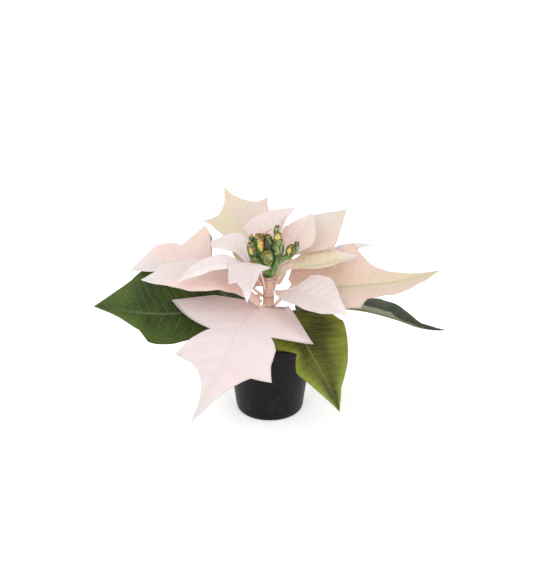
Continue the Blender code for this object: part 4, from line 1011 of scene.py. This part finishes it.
def make_blade(blade, skin, underside, stalk, side_veins, swell, wave):
    """Both faces of a blade with its margin, and its stalk with the midrib's back, as one piece.

    The middle of the sheet is the model's surface. Between two side veins it swells by swell millimetres, as
    one minus the cosine of the count of veins. Towards the margin it waves by wave millimetres, as a sine of
    the way along times the square of the way out. Each face lies half the thickness off the middle.
    Not mended: the two faces are wound inward and the rims outward.
    """
    station, along, across, out = blade.grid(ROWS_ALONG, CELLS_ACROSS)
    middle = blade.surface(along, across)
    cross = np.cross(np.gradient(middle, axis=0), np.gradient(middle, axis=1))
    size = np.linalg.norm(cross, axis=-1, keepdims=True)
    normal = np.where(size > 1e-5, cross / np.maximum(size, 1e-5), blade.midrib(along)[2])
    side = across > 0
    count = station * side_veins + 0.5 * side
    puff = (1 - np.cos(2 * math.pi * (count - 0.5))) / 2 * ease(out, 0, 0.2) * ease(out, 1, 0.75)
    seed = sum(map(ord, blade.name)) % WAVE_PHASES
    turns = 2 * math.pi * (along * blade.length / WAVE_LENGTH + seed / WAVE_PHASES) + 1.9 * side
    ripple = (np.sin(turns) + 0.4 * np.sin(2.3 * turns + seed)) * out**2 * ease(along, 1.0, 0.75)
    middle = middle + normal * (swell * puff + wave * ripple)[..., None]
    half = SHEET_THICKNESS / 2 * (1 - (1 - MARGIN_SHARE) * ease(out, 0.7, 1))
    top = middle + normal * half[..., None]
    back = middle - normal * half[..., None]
    tint = np.stack([station, across, out], -1)
    shape = Shape()
    shape.grid(top, 0, tint)
    shape.grid(back, 1, tint, flip=True)
    for rim in (np.s_[:, 0], np.s_[:, -1], np.s_[0, :], np.s_[-1, :]):
        edge = np.stack([top[rim], back[rim]])
        as_made = rim[1] == -1 or rim[0] == 0
        shape.grid(edge, 0, np.stack([tint[rim], tint[rim]]), flip=not as_made)
    root = SMALL_STALK_RADIUS if blade.small else STALK_RADIUS
    start = -blade.stalk / blade.length
    way = np.concatenate([np.linspace(start, 0, STALK_ROWS)[:-1], np.linspace(0, RIB_END, RIB_ROWS)])
    widths = [root, root * 0.92, root * 0.85, RIB_TIP_RADIUS]
    radii = np.interp(way, [start, start * 0.8, 0, RIB_END], widths)
    centre, _, up = blade.midrib(way)
    centre = centre - up * (STALK_SINK * radii * np.clip(way / 0.06, 0, 1))[:, None]
    tube = swept(centre, radii, STALK_SIDES)
    path = np.concatenate([[start] * 3, way, [RIB_END] * 3])
    shape.grid(tube, 2, np.stack([path, 0 * path, 0 * path], -1)[:, None])
    return shape.piece(blade.name + "_grown", (skin, underside, stalk), blade.name,
                       "leaf" if blade.is_leaf() else "bract")


def make_blades():
    backs = {
        True: underside_finish("leaf_underside", (122, 122, 96), (150, 150, 112), 0.6),
        False: underside_finish("bract_underside", (236, 214, 208), (222, 188, 178), 0.7),
    }
    stalks = {
        True: stalk_finish("leaf_stalk", (84, 44, 40), (112, 116, 60), (132, 128, 72)),
        False: stalk_finish("bract_stalk", (238, 202, 186), (242, 216, 206), (228, 212, 176)),
    }
    for blade in BLADES:
        is_leaf = blade.is_leaf()
        look = LEAF_LOOKS[blade.name] if is_leaf else PALE | BRACT_LOOKS[blade.name]
        skin = (leaf_finish if is_leaf else bract_finish)(blade.name, look)
        swell, wave = (0.45, 0.5) if is_leaf else (0.25, 0.45)
        make_blade(blade, skin, backs[is_leaf], stalks[is_leaf], look["side_veins"], swell, wave)


def pot_radius(height):
    """The pot's outer radius below its rim band."""
    top = POT_HEIGHT - POT_RIM_BAND
    return POT_BASE_RADIUS + (POT_RIM_RADIUS - POT_RIM_STEP - POT_BASE_RADIUS) * height / top


def make_pot():
    """The model's wall turned with every corner rounded, six drainage holes cut through the base."""
    band = POT_HEIGHT - POT_RIM_BAND
    rim = POT_RIM_RADIUS
    chamfer = POT_FOOT_CHAMFER
    corners = [
        (0.0, 0.0),
        (POT_BASE_RADIUS - chamfer - 3.0, 0.0),
        (POT_BASE_RADIUS - chamfer - 2.6, 0.25),
        (POT_BASE_RADIUS - chamfer - 1.0, 0.25),
        (POT_BASE_RADIUS - chamfer - 0.6, 0.0),
        (POT_BASE_RADIUS - chamfer, 0.0),
        (pot_radius(chamfer) - 0.3, chamfer),
        (pot_radius(chamfer + 1.7) - 0.25, chamfer + 1.7),
        (pot_radius(chamfer + 2.0), chamfer + 2.0),
        (pot_radius(band), band - 0.6),
        (rim - 0.5, band),
        (rim - 0.2, band + 0.4),
        (rim, POT_HEIGHT - 0.5),
        (rim - 0.5, POT_HEIGHT),
        (rim - POT_WALL - 0.5, POT_HEIGHT),
        (pot_radius(band) - POT_WALL, band),
        (pot_radius(POT_WALL) - POT_WALL, POT_WALL),
        (0.0, POT_WALL),
    ]
    shape = Shape()
    shape.grid(turned(rounded(corners, 0.35)), flip=True)
    pot = shape.piece("pot_moulded", (pot_finish(),), "pot", "pot_plastic")
    plug = turned([(0.0, -3.0), (DRAIN_RADIUS, -3.0), (DRAIN_RADIUS, 5.0), (0.0, 5.0)], 32)
    for turn in 2 * math.pi * (np.arange(DRAIN_COUNT) + 0.5) / DRAIN_COUNT:
        drill = Shape()
        drill.grid(plug + np.array([math.cos(turn), math.sin(turn), 0]) * DRAIN_CIRCLE, flip=True)
        cut_hole(pot, drill.object("drill", recalc=True))


def cut_hole(thing, drill):
    """Takes the drill's shape out of the piece, for good."""
    cut = thing.modifiers.new("hole", "BOOLEAN")
    cut.operation = "DIFFERENCE"
    cut.solver = "EXACT"
    cut.object = drill
    graph = bpy.context.evaluated_depsgraph_get()
    done = bpy.data.meshes.new_from_object(thing.evaluated_get(graph))
    thing.modifiers.clear()
    thing.data = done
    bpy.data.objects.remove(drill, do_unlink=True)


def soil_waves(x, y):
    """Crossing waves of the soil's surface: sines and cosines of sums of x and y."""
    waves = np.sin(0.43 * x + 1.1) * np.cos(0.37 * y) + 0.6 * np.sin(0.81 * y - 0.5 * x)
    return waves + 0.4 * np.cos(1.1 * x + 0.7 * y)


def make_soil():
    """Potting soil to the model's level: a turned block whose top rises and sinks by crossing waves."""
    inner = STEM_FOOT_RADIUS + 0.5
    edge = pot_radius(SOIL_TOP) - POT_WALL - SOIL_CLEAR
    foot = POT_WALL + SOIL_CLEAR
    top = [(r, SOIL_TOP) for r in np.linspace(inner, edge, SOIL_RINGS)]
    profile = [(0.0, STEM_FOOT - 0.3), (inner, STEM_FOOT - 0.3), (inner, SOIL_TOP - 2.0), *top,
               (pot_radius(foot) - POT_WALL - SOIL_CLEAR, foot), (0.0, foot)]
    points = turned(profile, SOIL_SPOKES)
    x, y, z = (points[..., k] for k in range(3))
    radius = np.hypot(x, y)
    waves = soil_waves(x, y) + 0.35 * np.sin(2.3 * x) * np.cos(2.1 * y + x)
    inside = ease(radius, edge, edge - 4) * (z > SOIL_TOP - 0.01)
    points[..., 2] += SOIL_SWELL * waves * inside
    points[..., 0] += (radius < inner + 0.01) * STEM_X
    shape = Shape()
    shape.grid(points, flip=True)
    shape.piece("soil_fill", (soil_finish(),), "soil", "soil")
    make_crumbs(inner, edge)


def make_crumbs(inner, edge):
    """Small lumps lying on the soil: one twenty-sided lump turned, stretched and placed for each."""
    work = bmesh.new()
    bmesh.ops.create_icosphere(work, subdivisions=1, radius=1.0)
    lump = np.array([v.co for v in work.verts])
    corners = np.array([[v.index for v in face.verts] for face in work.faces])
    work.free()
    count = CRUMB_COUNT
    random = np.random.default_rng(11)
    size = random.uniform(*CRUMB_SIZES, count)
    tone = random.uniform(0, 0.93, count)
    tone[:PERLITE_COUNT] = 1.0
    way = np.sqrt(random.uniform(((inner + 1.4) / edge) ** 2, 0.9, count)) * edge
    angle = random.uniform(0, 2 * math.pi, count)
    shape_of = random.uniform(0.6, 1.25, (count, 1, 3)) * size[:, None, None]
    jitter = 1 + random.uniform(-0.18, 0.18, (count, len(lump), 1))
    spin = random.uniform(0, 2 * math.pi, count)
    turn = np.zeros((count, 3, 3))
    turn[:, 0, 0] = turn[:, 1, 1] = np.cos(spin)
    turn[:, 0, 1], turn[:, 1, 0] = np.sin(spin), -np.sin(spin)
    turn[:, 2, 2] = 1
    x, y = way * np.cos(angle), way * np.sin(angle)
    z = SOIL_TOP + SOIL_SWELL * soil_waves(x, y) + size * 0.3
    points = (lump[None] * jitter * shape_of) @ turn + np.stack([x, y, z], -1)[:, None]
    faces = (corners[None] + len(lump) * np.arange(count)[:, None, None]).reshape(-1, 3)
    shape = Shape()
    shape.points, shape.faces = [points.reshape(-1, 3)], [faces]
    shape.slots = [np.zeros(len(faces), int)]
    shape.tints = [np.repeat(np.stack([tone, tone, tone], -1), len(lump), axis=0)]
    lumps = shape.piece("soil_crumbs", (crumb_finish(),), "soil", "soil", weld=1e-9)
    lumps.data.shade_flat()


def make_stem():
    """The stem turned from the model's radius: it narrows upwards and swells at each node, with five low
    flutes and a leaf scar's dent on one side of each node. Not mended: it is wound inward."""
    z = np.linspace(STEM_FOOT, STEM_TOP - 0.6, 200)
    share = (z - STEM_FOOT) / (STEM_TOP - STEM_FOOT)
    swell = np.exp(-(((z[:, None] - np.array(STEM_NODES)) / STEM_NODE_HEIGHT) ** 2)).max(1)
    radius = STEM_FOOT_RADIUS + (STEM_RADIUS - STEM_FOOT_RADIUS) * share - STEM_NODE_SWELL * (1 - swell)
    top = radius[-1]
    profile = [(0.0, STEM_FOOT), *zip(radius, z), (top - 0.25, STEM_TOP - 0.15), (top - 0.8, STEM_TOP),
               (0.0, STEM_TOP)]

    def flutes(angle, height):
        scars = sum(0.035 * np.exp(-(((height - node) / 1.6) ** 2)) * np.cos(angle - 2.4 * k)
                    for k, node in enumerate(STEM_NODES))
        return 1 - 0.012 * (1 + np.cos(5 * angle + 0.05 * height)) - np.maximum(scars, 0)

    shape = Shape()
    shape.grid(turned(profile, 64, flutes) + np.array([STEM_X, 0, 0]), flip=True)
    shape.piece("stem_grown", (stem_finish(),), "stem", "stem")


# Each cup in order: how light it is, its gland's size, how red the gland is, and how orange the cup's
# points are.
CUP_LOOKS = [
    (0.5, 0.4, 0.0, 0.3), (0.6, 1.25, 0.05, 0.7), (0.5, 0.75, 0.9, 0.0), (-0.15, 0.3, 0.1, 0.2),
    (0.3, 1.05, 0.6, 0.3), (0.4, 0.7, 0.1, 0.9), (0.4, 0.8, 0.35, 0.3), (0.6, 0.7, 0.5, 0.6),
    (0.6, 0.6, 0.4, 0.6), (0.3, 0.95, 0.3, 0.5), (0.45, 0.5, 0.4, 0.0), (0.2, 0.8, 0.3, 0.5),
    (0.25, 0.8, 0.2, 0.3),
]
GLAND_HEIGHT = 0.64
GLAND_REACH = 0.4
GLAND_SIZE = (0.3, 0.3, 0.26)
POINT_SIZE = (0.95, 0.95, 1.9)
POINTS_ROUND = 5
COLLAR = [(0.0, 108.0), (3.0, 108.0), (4.0, 107.7), (4.4, 107.2), (4.2, 106.7), (3.4, 106.5), (0.0, 106.5)]
COLLAR_X = -1.2

# Small strips on the flower head: their points, their width, how far they have turned from green, and their
# colour's place between red and orange.
STRIPS = [
    ([(-14.5, -4.0, 134.2), (-18.5, -4.4, 135.0), (-22.0, -4.8, 134.4)], 0.32, 0.8, 1.2),
    ([(-2.7, -1.4, 141.1), (-0.6, -1.2, 142.8), (1.8, -0.6, 144.0)], 0.6, 1.0, 0.8),
    ([(3.2, -6.8, 127.0), (5.4, -7.2, 128.0), (7.8, -7.0, 129.6)], 0.75, 0.0, 1.0),
    ([(7.2, -4.9, 127.0), (8.4, -5.1, 125.4), (9.8, -4.8, 125.8)], 0.85, 1.0, 0.0),
    ([(6.2, -4.9, 123.0), (7.0, -5.1, 121.8), (7.8, -4.9, 121.0)], 0.8, 1.0, 0.1),
]


def cup_points(width, height):
    """A plump cup: a turned profile, five low ribs that grow upwards, and a hollow in its top."""
    profile = [(0.0, 0.86), (0.14, 0.87), (0.25, 0.97), (0.35, 0.95), (0.43, 0.82), (0.5, 0.58),
               (0.485, 0.4), (0.42, 0.2), (0.3, 0.04), (0.18, -0.02), (0.0, 0.0)]
    curve = smooth_route(profile, np.linspace(0, 1, 26))
    curve[[0, -1], 0] = 0

    def ribs(angle, height_share):
        return 1 + (0.06 * np.cos(5 * angle) + 0.03 * np.cos(3 * angle + 1)) * ease(height_share, 0.25, 0.8)

    points = turned(curve, 30, ribs) * np.array([width, width, height])
    return points, curve


def lip_points():
    """A plump oval lip of unit half width and half length that faces along Z, dented in the middle.

    Gives its points, how near each is to the rim, and how far it lies to one side."""
    profile = [(0.0, 0.5), (0.3, 0.52), (0.56, 0.58), (0.74, 0.6), (0.9, 0.5), (1.0, 0.22), (0.98, -0.05),
               (0.8, -0.35), (0.45, -0.6), (0.0, -0.7)]
    curve = smooth_route(profile, np.linspace(0, 1, 20))
    curve[[0, -1], 0] = 0

    def waves(angle, height):
        return 1 + 0.07 * np.cos(4 * angle) + 0.04 * np.cos(7 * angle + 1)

    points = turned(curve, 24, waves)
    rim = np.exp(-(((curve[:, 0] - 0.9) / 0.16) ** 2)) * (curve[:, 1] > -0.1)
    return points, np.broadcast_to(rim[:, None], points.shape[:2]), points[..., 0] + 0.6 * points[..., 1]


def drop_points():
    """A small pointed drop of unit width and length."""
    profile = [(0.0, 1.0), (0.16, 0.92), (0.36, 0.66), (0.5, 0.34), (0.4, 0.06), (0.0, -0.05)]
    return turned(profile, 8)


def make_flowers():
    """The flower head: branches from the stem's top, and on them cups with a gland on one side and points
    round the mouth. Slots: 0 branch, 1 cup, 2 gland, 3 point. Not mended: the glands are wound inward."""
    shape = Shape()
    shape.grid(turned(COLLAR, 40) + np.array([COLLAR_X, 0, 0]), 0, (0.0, 1.0, 0.0), flip=True)
    for points, start, end in BRANCHES:
        share = np.linspace(0, 1, 22)
        centre = smooth_route(points, share)
        radii = (start + (end - start) * share) * (1 + 0.05 * np.sin(9 * share + start * 5))
        shape.grid(swept(centre, radii, 20), 0)
    lip, rim, sideways = lip_points()
    drop = drop_points()
    for index, (cup, cup_look) in enumerate(zip(CUPS, CUP_LOOKS)):
        foot, top, width, side = cup
        light, size, redness, orange = cup_look
        foot, top = np.array(foot), np.array(top)
        axis = unit(top - foot)
        height = np.linalg.norm(top - foot)
        points, curve = cup_points(width, height)
        rows = np.stack([curve[:, 1], 0 * curve[:, 1] + light, ease(curve[:, 1], 0.7, 1.0)], -1)
        shape.grid(aimed(points, foot, axis, index), 1, rows[:, None], flip=True)
        way = math.radians(side)
        out = np.array([math.cos(way), math.sin(way), 0.0])
        out = unit(out - out @ axis * axis)
        across = np.cross(axis, out)
        middle = foot + axis * height * GLAND_HEIGHT + out * width * GLAND_REACH
        reach = np.array(GLAND_SIZE) * [width, height, width]
        lips = lip @ (np.stack([across, axis, out]) * reach[:, None]) * size
        tone = np.stack([rim, 0 * rim + redness, sideways], -1)
        shape.grid(middle + lips, 2, tone)
        for k in range(POINTS_ROUND):
            turn = 2 * math.pi * (k + 0.3) / POINTS_ROUND
            away = out * math.cos(turn) + across * math.sin(turn)
            start = foot + axis * height * 0.9 + away * width * (0.27 if k % 2 else 0.16)
            grown = 0.8 + 0.25 * math.sin(3.1 * k + index)
            spike = aimed(drop * np.array(POINT_SIZE) * grown, start, axis + 0.35 * away)
            tone = np.array([[1.0, 0.9, 0.7, 0.4, 0.1, 0.0]]).T * np.array([1.0, 0, 0])
            tone = tone + np.array([0, orange + 0.2 * math.sin(k * 2.0 + index), 0])
            shape.grid(spike, 3, tone[:, None], flip=True)
    for points, width, ripe, orange in STRIPS:
        share = np.linspace(0, 1, 14)
        centre = smooth_route(points, share)
        radii = width * (1 - 0.8 * share**2) * (0.6 + 0.4 * np.sin(math.pi * share))
        tone = np.array([ripe, orange, 0.0])
        shape.grid(swept(centre, radii, 10, flat=0.45), 3, tone)
    finishes = (branch_finish(), cup_finish(), gland_finish(), tip_finish())
    shape.piece("flower_head", finishes, "cyathia", "cyathia")


def make_stage():
    """A plain pale floor, three soft lamps and even light from all round."""
    mesh = bpy.data.meshes.new("floor")
    corners = [(x * FLOOR_REACH, y * FLOOR_REACH, 0) for x, y in ((-1, -1), (1, -1), (1, 1), (-1, 1))]
    mesh.from_pydata(corners, [], [(0, 1, 2, 3)])
    floor = bpy.data.objects.new("floor", mesh)
    finish = Finish("floor_paper", 0.9, Specular_IOR_Level=0.1, Emission_Strength=0.42)
    finish.feed(finish.shader.inputs["Emission Color"], (1.0, 1.0, 1.0))
    grain = finish.noise(finish.place(), 40.0)
    finish.paint(finish.mix(grain, (0.93, 0.93, 0.93), (0.95, 0.95, 0.95)))
    mesh.materials.append(finish.material)
    bpy.context.scene.collection.objects.link(floor)
    world = bpy.data.worlds.new("studio")
    world.use_nodes = True
    light = world.node_tree.nodes["Background"].inputs
    light["Color"].default_value = (1.0, 1.0, 1.0, 1.0)
    light["Strength"].default_value = WORLD_STRENGTH
    bpy.context.scene.world = world
    for name, place, size, power in LAMPS:
        lamp = bpy.data.lights.new(name, "AREA")
        lamp.shape = "DISK"
        lamp.size = size
        lamp.energy = power
        holder = bpy.data.objects.new(name, lamp)
        holder.location = place
        x, y, z = TARGET * MM - np.array(place)
        holder.rotation_euler = (math.atan2(math.hypot(x, y), -z), 0, math.atan2(y, x) - math.pi / 2)
        bpy.context.scene.collection.objects.link(holder)
    bpy.context.scene.view_settings.view_transform = "Standard"


def make_camera():
    """The photograph's view: from the front and above, looking along +Y and down."""
    camera = bpy.data.cameras.new("camera")
    camera.sensor_width = 36.0
    camera.lens = LENS
    camera.clip_end = 20.0
    holder = bpy.data.objects.new("camera", camera)
    pitch = math.radians(CAMERA_PITCH)
    place = TARGET + CAMERA_DISTANCE * np.array([0.0, -math.cos(pitch), math.sin(pitch)])
    holder.location = place * MM
    holder.rotation_euler = (math.pi / 2 - pitch, 0, 0)
    bpy.context.scene.collection.objects.link(holder)
    bpy.context.scene.camera = holder


make_stage()
make_camera()
make_pot()
make_soil()
make_stem()
make_flowers()
make_blades()
